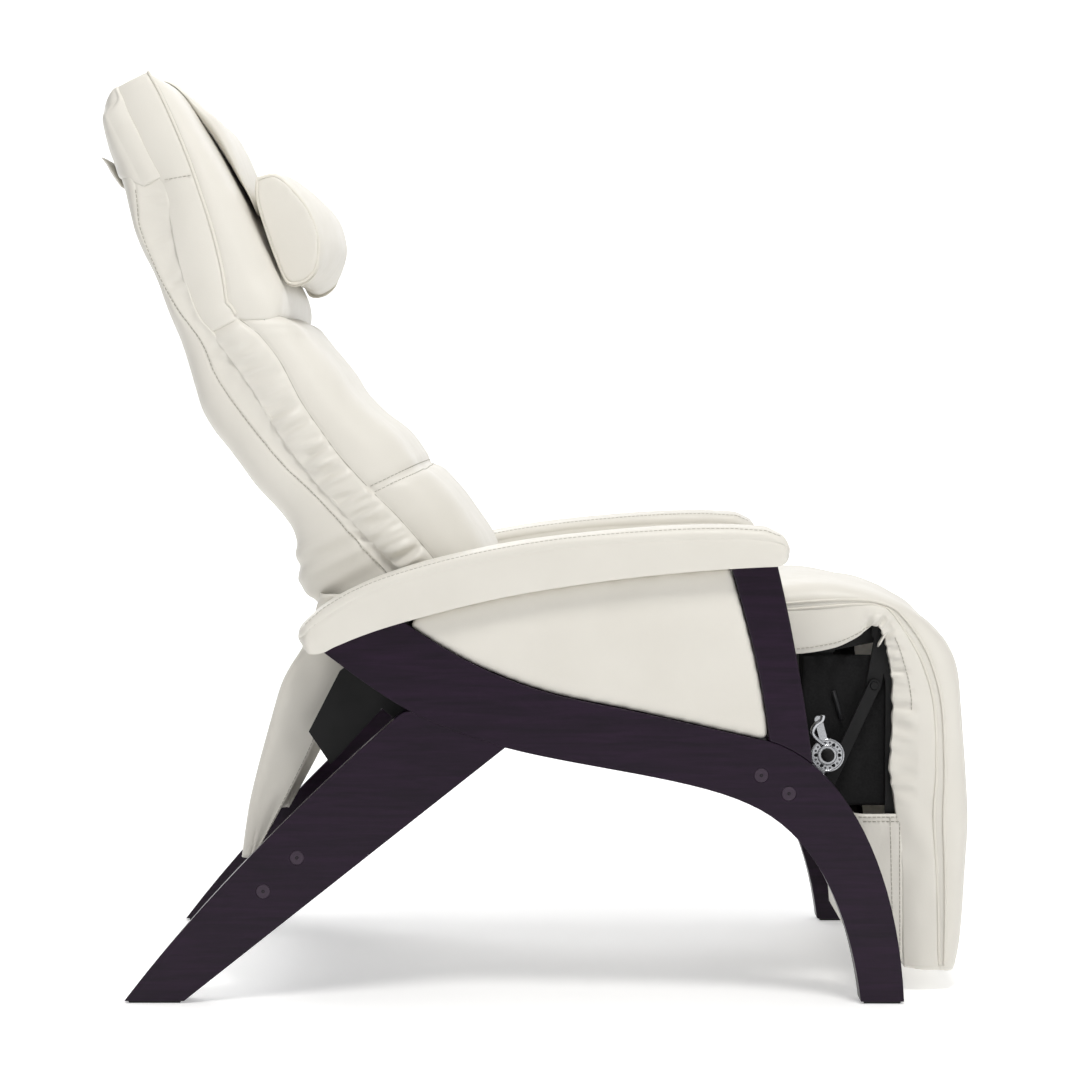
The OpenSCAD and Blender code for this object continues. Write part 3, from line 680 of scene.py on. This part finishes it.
TOP_U = 814.5
HEAD_FOOT_U = 446
LUMBAR_TOP_U = 491  # tucked up under the head
HOOD_FOOT_U = 711
QUILT_U = 205
FRONT_PIVOT, REAR_PIVOT = 25, -96  # w where a slanted ring keeps its own height
CREASE_LEVEL = -35  # the fold under the head runs level behind this
CAVITY = 27  # depth left in the lumbar cover and in the shell for the frame and motors


def slanted(curve, u, slope, pivot, level=-math.inf):
    """Where a line through (pivot, u) with this slope, level behind w = level, meets an outline."""
    at = u
    for _ in range(4):
        at = u + slope * (max(curve(at), level) - pivot)
    return curve(at), at


def fade(u, start, end):
    """1 at start, 0 at end, smooth between."""
    t = min(max((u - end) / (start - end), 0.0), 1.0)
    return t * t * (3 - 2 * t)


def back_ring(outer, seam, inner, half, **kw):
    """A closed ring across the back through three (w, u) points."""
    section = both_halves(pad_half(outer, seam, inner, half, counts=BACK_COUNTS, **kw))
    return np.array([on_back(w, u, y) for w, y, u in section])


HEAD_US = np.concatenate([[HEAD_FOOT_U, 448, 453, 460], np.arange(467, 800, 5.5), [803, 808, 812, TOP_U]])


def make_head():
    """The head cushion, with the crease at its foot."""
    rings = []
    for u in HEAD_US:
        top, foot = inset(TOP_U - u, 10), inset(u - HEAD_FOOT_U, 18)
        half = PAD_Y - top - 0.12 * foot
        slope = -0.5 * fade(u, 455, 545)
        low = fade(u, 460, 520)
        outer, seam, inner = (slanted(curve, u, slope, FRONT_PIVOT, CREASE_LEVEL) for curve in (
            FRONT_HEAD,
            lambda v: max(HEAD_SEAM(v), -42 * low - 60 * (1 - low)),
            lambda v: max(MID_SEAM(v), REAR(v) + 6) - 2))
        rings.append(back_ring((outer[0] - 0.5 * foot, outer[1]), seam, inner, half,
                               flat=half - 66 + 26 * low, crown=5, puff=3.5, groove=2.6,
                               squareness=0.8 - 0.2 * low))
    obj = cushion(skin("head_cushion_cover", rings, LEATHER), BACK_COUNTS)
    side = between(obj, obj["seam"], obj["inner"])
    low = np.array([fade(u, 480, 620) for u in HEAD_US])[:, None]
    fold(obj, side * low, 26, 60, 1.6, seed=2.0)
    fold(obj, whole(obj), 110, 90, 1.1, seed=5.0)
    return obj


LUMBAR_US = np.concatenate([[490, 488, 482, 474, 465, 457, 449], np.arange(442, 14, -4.4), [14]])
FOOT_RADIUS = 116  # the lumbar cushion's foot turns about the hip


def make_lumbar():
    """The lumbar cushion: ruched sides, a quilted row across it and a foot that turns under."""
    rings = []
    for u in LUMBAR_US:
        high = fade(u, 450, 410)
        tucked = fade(u, 452, 440)
        half = PAD_Y - 3.5 * tucked
        slope = -0.5 * fade(u, 450, 380)
        outer, seam, inner = (slanted(curve, u, slope, FRONT_PIVOT, CREASE_LEVEL) for curve in (
            FRONT_LUMBAR, lambda v: max(LUMBAR_SEAM(v), -42), MID_SEAM))
        rings.append(back_ring((outer[0] - 0.4 * inset(LUMBAR_TOP_U - u, 34), outer[1]), seam,
                               (inner[0] - 2, inner[1]), half, flat=half - 76 + 36 * high, crown=7,
                               puff=4.0 - 4.0 * tucked, groove=2.8, squareness=0.8 - 0.2 * high,
                               hollow=CAVITY))
    for a in np.linspace(math.atan2(14, FOOT_RADIUS), math.radians(-31), 9)[1:]:
        d = np.array([math.cos(a), math.sin(a)])
        rings.append(back_ring(d * FOOT_RADIUS, d * 60, d * 42, PAD_Y, flat=PAD_Y - 76, crown=7, puff=2))
    obj = cushion(skin("lumbar_cushion_cover", rings, LEATHER), BACK_COUNTS)
    us = np.concatenate([LUMBAR_US, np.linspace(10, -60, 8)])[:, None]
    side = between(obj, obj["seam"], obj["inner"])
    ruched = np.clip((448 - us) / 14.0, 0, 1)
    fold(obj, side * ruched, 8.0, 75, 7.5, seed=7.0)
    fold(obj, near(obj, obj["inner"] - 2, 3) * ruched, 6, 30, 2.4, seed=9.0)
    front = outer_face(obj)
    push(obj, -4.5 * front * band(us, QUILT_U, 7))
    fold(obj, front, 120, 80, 1.5, seed=11.0)
    fold(obj, front * band(us, QUILT_U, 28), 40, 16, 1.2, seed=12.0)
    fold(obj, front * band(us, 452, 24), 14, 60, 2.2, seed=13.0)
    return obj


SHELL_US = np.concatenate([[84, 87, 92, 98], np.arange(105, 700, 6.0), [704, 709, 713]])
SHELL_FOOT_U, SHELL_TOP_U = 82, 718


def make_shell():
    """The rear shell with the narrow side panel in front of its seam."""
    rings = []
    for u in SHELL_US:
        foot, top = inset(u - SHELL_FOOT_U, 16), inset(SHELL_TOP_U - u, 12)
        half = PAD_Y - 0.5 * foot - 0.5 * top
        slope = -0.62 * fade(u, 700, 610)
        outer, seam, inner = (slanted(c, u, slope, REAR_PIVOT) for c in (REAR, REAR_SEAM, MID_SEAM))
        full = 6 + 3.5 * fade(u, 600, 690)
        rings.append(back_ring((outer[0] - full + 0.5 * foot + 0.6 * top, outer[1]), seam,
                               (inner[0] + 2, inner[1]), half, flat=half - 46, crown=4, puff=-1.5,
                               hollow=CAVITY))
    obj = cushion(skin("rear_shell_cover", rings, LEATHER), BACK_COUNTS)
    us = SHELL_US[:, None]
    fold(obj, between(obj, obj["seam"], obj["inner"]), 10, 60, 2.8, seed=21.0)
    fold(obj, whole(obj) * band(us, 130, 55), 17, 110, 5.0, seed=22.0)
    fold(obj, whole(obj), 60, 120, 2.2, seed=23.0)
    return obj


HOOD_US = np.concatenate([[712, 714, 718, 723], np.arange(729, 800, 6.0), [803, 808, 812, TOP_U]])


def make_hood():
    """The panel that wraps the head's rear, hanging a little over the shell."""
    rings = []
    for u in HOOD_US:
        top, foot = inset(TOP_U - u, 10), inset(u - HOOD_FOOT_U, 8)
        half = PAD_Y - top + 1.4 - 0.3 * foot
        slope = -0.62 * fade(u, 714, 775)
        outer = slanted(REAR, u, slope, REAR_PIVOT)
        inner = slanted(lambda v: max(MID_SEAM(v), REAR(v) + 6) + 2, u, slope, REAR_PIVOT)
        bulge = 7.5 - 0.6 * foot - 0.25 * top
        seam = (min(-74, inner[0] - 8), inner[1]) if u < 790 else (inner[0] - 6, inner[1])
        rings.append(back_ring((outer[0] - bulge, outer[1]), seam, inner, half, flat=half - 52,
                               crown=4, puff=2, groove=0.0))
    obj = cushion(skin("hood_cover", rings, LEATHER), BACK_COUNTS)
    fold(obj, whole(obj), 45, 60, 1.6, seed=31.0)
    return obj


head, lumbar, shell, hood = make_head(), make_lumbar(), make_shell(), make_hood()


# ---- neck pillow, its strap and counterweight

PILLOW_FULL = [
    (56, 640), (74, 643), (92, 631), (107, 606), (117, 580), (121, 558), (118, 535), (111, 516),
    (95, 500), (75, 490), (56, 487), (43, 491), (35, 501), (33, 522), (37, 560), (47, 613)]
PILLOW_END = [
    (58, 634), (80, 628), (91, 606), (98, 577), (98, 548), (91, 522), (74, 497), (58, 489), (46, 489),
    (36, 493), (32, 503), (36, 550), (46, 610)]
PILLOW_HALF = 190


def loop(points):
    """60 points at even distances round a smooth closed curve."""
    return spaced(smooth(points + points[:1]), 61)[:-1]


def make_pillow():
    """The neck pillow: a full middle that tapers to a flat boxed end at each side."""
    full, end = loop(PILLOW_FULL), loop(PILLOW_END)
    mid = end.mean(axis=0)
    rings = []
    edge = [PILLOW_HALF, PILLOW_HALF - 1, PILLOW_HALF - 3.5, PILLOW_HALF - 8]
    for y in [*(-np.array(edge)), *np.linspace(-176, 176, 61), *edge[::-1]]:
        g = (abs(y) / PILLOW_HALF) ** 3
        ring = full * (1 - g) + end * g
        ring = mid + (ring - mid) * (1 - inset(PILLOW_HALF - abs(y), 5) / 60)
        rings.append([on_back(w, u, y) for w, u in ring])
    obj = skin("neck_pillow_cover", rings, LEATHER)
    ys = grid(obj)[:, 0, 1][:, None]
    fold(obj, whole(obj) * band(np.abs(ys), 172, 24), 40, 14, 1.6, seed=41.0)
    fold(obj, whole(obj) * (np.abs(ys) < 180), 70, 60, 1.5, seed=42.0)
    return obj


def pillow_end(y, grow):
    """The seam round one end of the pillow."""
    end = loop(PILLOW_END)
    mid = end.mean(axis=0)
    return [on_back(*(mid + (q - mid) * grow), y) for q in end]


def strip(name, path, half, material, n, across=25, end_round=6):
    """A flat padded strap |y| <= half along a path of (w, u, thickness) points on the back."""
    line = spaced(smooth(path), n)
    ahead = np.gradient(line[:, :2], axis=0)
    normal = np.column_stack([ahead[:, 1], -ahead[:, 0]])
    normal /= np.linalg.norm(normal, axis=1)[:, None]
    step = lengths(line[:, :2])
    rings = []
    for (w, u, thick), q, s in zip(line, normal, step):
        end = inset(s, end_round) + inset(step[-1] - s, end_round)
        h, t = half - 0.5 * end, thick * (1 - 0.8 * end / end_round)
        ys = h * np.sin(np.linspace(-1, 1, across) * math.pi / 2)
        k = np.sqrt(np.maximum(1 - (np.abs(ys) / h) ** 12, 0)) * 0.9 + 0.1
        p = np.array([w, u])
        ring = [on_back(*(p + q * t * kk / 2), y) for y, kk in zip(ys, k)]
        ring += [on_back(*(p - q * t * kk / 2), y) for y, kk in zip(ys[::-1], k[::-1])]
        rings.append(ring)
    return skin(name, rings, material)


pillow = make_pillow()
strap = strip("pillow_strap_flap", [
    (35, 596, 4), (36.5, 622, 6), (37, 650, 8), (38, 676, 13), (37.5, 706, 19), (34, 732, 20),
    (27.5, 755, 14), (20.5, 780, 9), (12, 799, 8), (0, 811, 7), (-16, 817, 6), (-50, 817, 5),
    (-68, 808, 4), (-82, 792, 4), (-94, 768, 4), (-101, 735, 3)], 152, LEATHER, n=96)
tail = strip("counterweight_flap", [
    (-105, 704, 4), (-106, 716, 8), (-107, 729, 10), (-108, 741, 8), (-112, 752, 3)],
    190, LEATHER, n=30, end_round=3)
fold(strap, whole(strap), 60, 50, 1.6, seed=51.0)


# ---- seat and leg rest

SEAT_STATIONS = [  # outer edge, side seam, inner edge
    ((-24, 500), (-24, 478), (-24, 442)), ((40, 508), (40, 480), (40, 439)),
    ((120, 508), (120, 481), (120, 439)), ((220, 520), (220, 487), (220, 438)),
    ((300, 528), (300, 494), (300, 438)), ((340, 532), (340, 497), (345, 439)),
    ((380, 532), (385, 501), (385, 446)), ((414, 528), (418, 503), (410, 457)),
    ((448, 522), (440, 502), (430, 470)), ((486, 505), (456, 496), (442, 476)),
    ((514, 483), (469, 480), (448, 464)), ((537, 453), (484, 457), (453, 449)),
    ((550, 419), (498, 430), (457, 426)), ((556, 375), (512, 388), (461, 395)),
    ((560, 335), (517, 345), (461, 350)), ((564, 283), (518, 283), (459, 290)),
    ((565, 226), (515, 226), (466, 230)), ((564, 161), (519, 161), (474, 165)),
    ((560, 110), (521, 110), (475, 112)), ((555, 60), (522, 56), (476, 60)),
    ((547, 23), (524, 25), (478, 29)),
]
SEAT_COUNTS = (16, 10, 13, 10)
SEAT_RINGS = 190


def make_seat():
    """One cushion from the seat's rear, over the knee and down the leg rest."""
    outer, seam, inner = (smooth([s[k] for s in SEAT_STATIONS], 12) for k in range(3))
    s = lengths(outer)
    rings = []
    for d in np.linspace(0, s[-1], SEAT_RINGS):
        o, m, i = (np.array([np.interp(d, s, c[:, k]) for k in (0, 1)]) for c in (outer, seam, inner))
        half = PAD_Y - inset(s[-1] - d, 6) - inset(d, 10)
        knee = math.exp(-((d - 520) / 60) ** 2)
        rings.append(both_halves(pad_half(o, m, i, half, flat=half - 40 - 14 * knee, crown=3 + 3 * knee,
                                          puff=3, squareness=0.72, counts=SEAT_COUNTS)))
    return cushion(skin("seat_and_leg_cover", rings, LEATHER), SEAT_COUNTS)


def ruffle_seat(obj):
    """Gathers round the knee and down the inner edge of the leg rest's side."""
    seam_line = column(obj, obj["seam"])
    x, z = seam_line[:, 0][:, None], seam_line[:, 2][:, None]
    leg = (x > 430) & (z < 505)
    knee = np.exp(-(((x - 465) / 34.0) ** 2 + ((z - 480) / 42.0) ** 2))
    side = between(obj, obj["seam"], obj["inner"])
    inner_half = between(obj, obj["seam"] + 5, obj["inner"])
    upper = np.clip((z - 225) / 40.0, 0, 1) * leg
    fold(obj, inner_half * upper, 9, 50, 5.0, seed=61.0)
    fold(obj, side * knee, 9, 60, 5.0, seed=62.0)
    fold(obj, near(obj, obj["inner"], 2.5) * upper, 8, 40, 4.0, seed=63.0)
    fold(obj, side * (z < 400), 50, 26, 2.4, seed=64.0)
    top = outer_face(obj)
    fold(obj, top, 90, 90, 2.4, seed=65.0)
    fold(obj, top * knee, 22, 70, 1.6, seed=66.0)


seat = make_seat()
ruffle_seat(seat)


# ---- armrests and side panels

ARM_IN, ARM_OUT = 268, 360
ARM_UNDER = np.vstack([
    [(-297, 459), (-285, 445)], bezier([-268, 446], [-190, 489], [30, 547], [306, 556], 40),
    [(316, 560), (320, 568)]])
ARM_TOP = np.vstack([
    [(-301, 468)], bezier([-300, 475], [-242, 563], [28, 608.5], [250, 608.5], 40),
    [(292, 606), (314, 595), (322, 580)]])
ARM_SEAM = smooth([
    (-300, 464), (-292, 468), (-277, 483), (-233, 512), (-190, 531), (-147, 544), (-104, 555),
    (-17, 572), (69, 583), (155, 588), (242, 591), (285, 589), (312, 583), (321, 573)])
ARM_COUNTS = (6, 10, 8, 5)


def make_armrest(side):
    """An armrest pad: side panel below the seam, crown above, flat underneath."""
    n = 130
    under, top, seam = spaced(ARM_UNDER, n), spaced(ARM_TOP, n), spaced(ARM_SEAM, n)
    s = lengths(seam)
    middle = (ARM_IN + ARM_OUT) / 2
    rings = []
    for i in range(n):
        half = (ARM_OUT - ARM_IN) / 2 - inset(s[i], 22) - inset(s[-1] - s[i], 13)
        ring = both_halves(pad_half(top[i], seam[i], under[i], half, flat=half * 0.55, crown=2, puff=1.2,
                                    squareness=0.72, groove=1.0, counts=ARM_COUNTS))
        ring[:, 1] = -SIGN[side] * (ring[:, 1] - middle)
        rings.append(ring)
    obj = cushion(skin("armrest_cover_" + side, rings, LEATHER), ARM_COUNTS)
    x = column(obj, obj["seam"])[:, 0][:, None]
    fold(obj, whole(obj) * band(x, 312, 14), 30, 7, 1.5, seed=71.0)
    fold(obj, whole(obj) * band(x, -285, 30), 20, 12, 1.2, seed=72.0)
    fold(obj, whole(obj), 120, 60, 0.9, seed=73.0)
    return obj


def make_side_panel(side):
    """A padded copy of the CAD panel: remeshed, so that it can be rounded."""
    cad = frame["nodes"]["side_panel_" + side]
    obj = bpy.data.objects.new("side_panel_cover_" + side, cad.data.copy())
    bpy.context.scene.collection.objects.link(obj)
    add_weld(obj)
    remesh = obj.modifiers.new("remesh", "REMESH")
    remesh.mode, remesh.voxel_size = "VOXEL", 0.005
    even = obj.modifiers.new("even", "SMOOTH")
    even.factor, even.iterations = 0.5, 4
    depsgraph = bpy.context.evaluated_depsgraph_get()
    mesh = bpy.data.meshes.new_from_object(obj.evaluated_get(depsgraph))
    obj.modifiers.clear()
    obj.data = mesh
    mesh.materials.clear()
    mesh.materials.append(LEATHER)
    keypad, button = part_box("control_panel"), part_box("leg_up_button")
    for v in mesh.vertices:
        behind = all(keypad[0][k] - 8 * MM < v.co[k] < keypad[1][k] + 8 * MM for k in (0, 2))
        inside = v.normal.y * SIGN[side] < 0
        v.co += v.normal * (0.0016 + 0.001 * noise.noise(Vector((v.co.x * 12, v.co.z * 14, 3.0))))
        if side == "L" and behind and inside:
            v.co.y = max(v.co.y, button[1][1] + 3.5 * MM)  # room for the buttons' travel
    for p in mesh.polygons:
        p.use_smooth = True
    return obj


arms = {side: make_armrest(side) for side in "RL"}
panels = {side: make_side_panel(side) for side in "RL"}


# ---- curtain, leg rest cover, liner

CURTAIN_REAR = by_height([
    (-380, 174), (-371, 238), (-359, 290), (-345, 341), (-330, 393), (-318, 419), (-302, 444),
    (-290, 470), (-282, 500), (-276, 520)])
CURTAIN_FRONT = by_height([
    (-366, 174), (-352, 197), (-316, 264), (-287, 322), (-264, 384), (-245, 425),
    (-236, 450), (-230, 470), (-222, 500), (-216, 520)])
CURTAIN_FOOT, CURTAIN_TOP = 174, 516
CURTAIN_HALF, CURTAIN_CORNER = 260, 12
COVER_FRONT, COVER_TOP, COVER_FOOT = 475, 231, 40
COVER_HALF, COVER_CORNER = 254, 14
LINER_Y = 233.5


def sheet_mesh(name, rows, thick, material):
    """A thin sheet over rows of points."""
    obj = skin(name, rows, material, caps=False, closed=False)
    solid = obj.modifiers.new("thickness", "SOLIDIFY")
    solid.thickness, solid.offset = thick * MM, 0
    return obj


def wrapped_row(front, rear, z, half, corner, n_side, side_wave, n_rear, rear_wave):
    """One level of a sheet that wraps the rear: a side return, the rear and the other return."""
    row = []
    for t in np.linspace(0, 1, n_side, endpoint=False):
        row.append((front + (rear + corner - front) * t, -half - side_wave(t), z))
    for a in np.linspace(0, 1, 5, endpoint=False) * math.pi / 2:
        row.append((rear + corner * (1 - math.sin(a)), -half + corner * (1 - math.cos(a)), z))
    for t in np.linspace(0, 1, n_rear):
        row.append((rear - rear_wave(t), (half - corner) * (2 * t - 1), z))
    return row + [(x, -y, z) for x, y, z in reversed(row[:n_side + 5])]


def curtain_row(z):
    """One level of the curtain, which waves a little."""
    return wrapped_row(
        CURTAIN_FRONT(z), CURTAIN_REAR(z), z, CURTAIN_HALF, CURTAIN_CORNER,
        18, lambda t: 1.8 * noise.noise(Vector((t * 2.2, z / 40, 1.0))),
        48, lambda t: 5 * noise.noise(Vector((t * 6, z / 120, 2.0))) * math.sin(math.pi * t))


curtain_rows = [curtain_row(z) for z in np.linspace(CURTAIN_FOOT, CURTAIN_TOP, 62)]
curtain = sheet_mesh("rear_curtain_sheet", curtain_rows, 3, LEATHER)


def cover_row(t):
    """One level of the leather box behind the lower leg rest, from top (0) to foot (1)."""
    return wrapped_row(
        COVER_FRONT, 411 + 16 * t, COVER_TOP + (COVER_FOOT - COVER_TOP) * t, COVER_HALF, COVER_CORNER,
        12, lambda k: 1.6 * noise.noise(Vector((k * 2, t * 5, 4.0))),
        33, lambda k: 0)


leg_cover = sheet_mesh("leg_rest_rear_cover", [cover_row(t) for t in np.linspace(0, 1, 30)], 3.5, LEATHER)


def make_liner(side):
    """The wrinkled black cloth beside the leg mechanism."""
    rows = []
    for z in np.linspace(240, 436, 60):
        row = []
        for x in np.linspace(346, 462, 36):
            high = ((z - 240) / 196) ** 2
            wave = 3.5 * noise.noise(Vector((x / 16, z / 34, 5.0))) * (0.25 + high)
            row.append((x, SIGN[side] * (LINER_Y + wave), z))
        rows.append(row)
    return sheet_mesh("liner_sheet_" + side, rows, 1.4, LINER)


liners = {side: make_liner(side) for side in "RL"}


# ---- piping, stitching and small fittings

trim(tubes("head_piping", both_seams(head, head["seam"], 2, -1, out=1.4), 2.3, PIPING), "back")
# a thread-coloured cord along the lumbar's real edge seam, darker than the leather: painted shade of the
# seam's groove
trim(tubes("lumbar_seam_shade_cord", both_seams(lumbar, lumbar["seam"], 3, None, out=0.2), 1.2, THREAD), "back")
for name, y, grow, radius in [
    ("pillow_piping", 187, 1.0, 2.2), ("pillow_boxing_piping", 178, 1.035, 1.4),
]:
    ends = [pillow_end(-y, grow), pillow_end(y, grow)]
    trim(tubes(name, ends, radius, PIPING, closed=True), "pillow")


def side_row(u, rise, y, ws):
    """A line across the side of the back, which rises from (ws.start - 4, u)."""
    return np.array([on_back(w, u + rise * (w - ws.start + 4), y) for w in ws])


shell_lines = both_seams(shell, shell["seam"], 2, -3, out=1.3)
flap_lines = [side_row(680, -0.3, y * (PAD_Y + 3.2), range(-46, -8, 4)) for y in (-1, 1)]
top_lines = [side_row(800, 0.16, y * (PAD_Y + 0.6), range(-44, -4, 4)) for y in (-1, 1)]
trim(stitches("back_seam_stitches", [*shell_lines, *flap_lines, *top_lines], THREAD), "back")

quilt_row = int(np.argmin(np.abs(LUMBAR_US - QUILT_U)))
front_columns = np.arange(-lumbar["seam"], lumbar["seam"] + 1) % lumbar["across"]
off_front = on_back(0.6, 0, 0) - on_back(0, 0, 0)
quilt_lines = [grid(lumbar)[quilt_row + k][front_columns] + off_front for k in (-1, 1)]
trim(stitches("lumbar_quilt_stitches", quilt_lines, THREAD), "back")

for side, arm in arms.items():
    arm_lines = [column(arm, k * j, 4, -4) for k in (1, -1) for j in (arm["seam"], ARM_COUNTS[0] + 4)]
    trim(stitches("armrest_stitches_" + side, arm_lines, THREAD, radius=0.45), "base")

curtain_edge = np.array([curtain_row(z)[1] for z in np.linspace(180, 392, 40)]) - [0, 1.8, 0]
curtain_thread = trim(stitches("curtain_stitches", [curtain_edge, mirrored(curtain_edge)], THREAD), "base")

cover_hems = [np.array(cover_row(t))[1:15] - [0, 2.2, 0] for t in (0.02, 0.05)]
cover_rows = np.array([cover_row(t) for t in np.linspace(0.02, 0.98, 40)])
cover_edges = [cover_rows[:, j] - [0, 2.2, 0] for j in (1, 4)]
cover_lines = cover_hems + cover_edges
cover_lines += [mirrored(q) for q in cover_lines]
cover_thread = trim(stitches("leg_cover_stitches", cover_lines, THREAD), "leg_rest")


def ring_path(centre, r, y, n=40):
    """A circle facing sideways."""
    a = np.linspace(0, 2 * math.pi, n, endpoint=False)
    return np.column_stack([centre[0] + r * np.cos(a), np.full(n, y), centre[1] + r * np.sin(a)])


def disc(centre, r, y0, y1, domed):
    """Rings of a round boss facing sideways, from y0 out to y1 and a little more at its middle."""
    rings = [(r, y0), (r, y1 * 0.85 + y0 * 0.15), (r * 0.86, y1), (r * 0.4, y1 + domed * (y1 - y0))]
    return [ring_path(centre, radius, y, 24) for radius, y in rings]


HUB_Y = 262  # the hub disc's outer face
HUB_RIM, HUB_BOLT = 20.2, 8.6  # radii


def hub_parts(side):
    """Rings, dark bolt, black rings painted as the shade in its small holes, and hooked arm of a hub disc.
    """
    sign = SIGN[side]
    rims = [ring_path(HUB, r, sign * (HUB_Y - 0.2)) for r in (HUB_RIM, 12.5)]
    trim(tubes("hub_rims_" + side, rims, 1.1, STEEL_BRIGHT, closed=True), "leg_crank")
    # black rings on the disc face: painted shade of its small holes
    hole_shades = [ring_path(HUB + 16.4 * np.array([math.cos(a), math.sin(a)]), 0.9, sign * (HUB_Y + 0.1), 10)
             for a in np.linspace(0, 2 * math.pi, 18, endpoint=False)]
    trim(tubes("hub_hole_shades_" + side, hole_shades, 0.55, STEEL_BLACK, sides=6, closed=True),
         "leg_crank")
    bolt = disc(HUB, HUB_BOLT, sign * (HUB_Y + 1), sign * (HUB_Y + 5.5), domed=0.2)
    trim(skin("hub_bolt_" + side, bolt, STEEL_BLACK), "leg_crank")
    hook = smooth([HUB + q for q in [(-6, 14), (-16, 22), (-20, 30), (-16, 39), (-8, 45), (-6, 52)]], 5)
    arm = [(x, sign * (HUB_Y - 0.5), z) for x, z in hook]
    trim(tubes("hub_hook_" + side, [arm], 3.4, STEEL_BRIGHT), "leg_crank")


for side in "RL":
    hub_parts(side)
BOLTS = [(-302, 186), (-345, 143), (286, 291), (321, 268)]
CAP_Y = 342.4  # a bolt cap's outer face
# black rings on the bolt caps: painted shade of their dimples
dimple_shades = [ring_path(at, 1.6, sign * CAP_Y, 12) for at in BOLTS for sign in (-1, 1)]
trim(tubes("bolt_cap_dimple_shades", dimple_shades, 0.5, STEEL_BLACK, sides=6, closed=True), "base")
rod = tubes("liner_stay", [[(386, y, 389), (397, y, 352)] for y in (-240, 240)], 2.6, GEARBOX)
trim(rod, "seat")
# a small leather tab at the knee, made on the back and moved there
tab = strip("knee_tab", [(0, 0, 3), (12, 8, 3), (24, 16, 3)], 7, LEATHER, n=8, across=9, end_round=3)
set_points(tab, points_of(tab) - on_back(12, 8, 0) + [449, -250, 460])
trim(tab, "seat")


# ---- attach, and hide the CAD nodes the pieces stand for


def blend_at_knee(obj):
    """Bakes the placement of a leather piece that runs from the seat to the leg rest into its mesh; it
    rides no body.
    """
    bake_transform(obj)


piping = [p for j in (seat["seam"], seat["seam"] - 2) for p in both_seams(seat, j, 2, -2, out=0.8)]
blend_at_knee(tubes("seat_piping", piping, 1.7, PIPING))
mid_line = (seat["seam"] + seat["inner"]) // 2
on_leg = int(np.argmax(column(seat, seat["seam"])[:, 2] < 470))
hem_end = int(np.argmax(column(seat, seat["inner"])[:, 0] > 430))
seat_lines = [*both_seams(seat, mid_line + 1, on_leg, -60, out=0.9),
              *both_seams(seat, seat["inner"] - 2, 30, hem_end, out=0.9)]
blend_at_knee(stitches("seat_stitches", seat_lines, THREAD))

finish_soft(head, "back", ["head_cushion"])
finish_soft(lumbar, "back", ["upper_lumbar_cushion", "lower_lumbar_cushion"])
finish_soft(shell, "back", ["back_cover", "side_gussets"])
finish_soft(hood, "back", [])
finish_soft(pillow, "pillow", ["neck_pillow"])
finish_soft(strap, "back", ["pillow_strap"])
finish_soft(tail, "counterweight", ["pillow_weight"])
for side in "RL":
    finish_soft(arms[side], "base", ["armrest_pad_" + side])
    finish_soft(panels[side], "base", ["side_panel_" + side])

subdivide(seat)
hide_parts("seat_cushion", "knee_roll", "calf_cushion")
blend_at_knee(seat)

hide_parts("rear_curtain")
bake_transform(curtain)

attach(leg_cover, "leg_rest")
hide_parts("leg_rest_cover")

for side, liner in liners.items():
    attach(liner, "seat")
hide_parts("liner_panels")
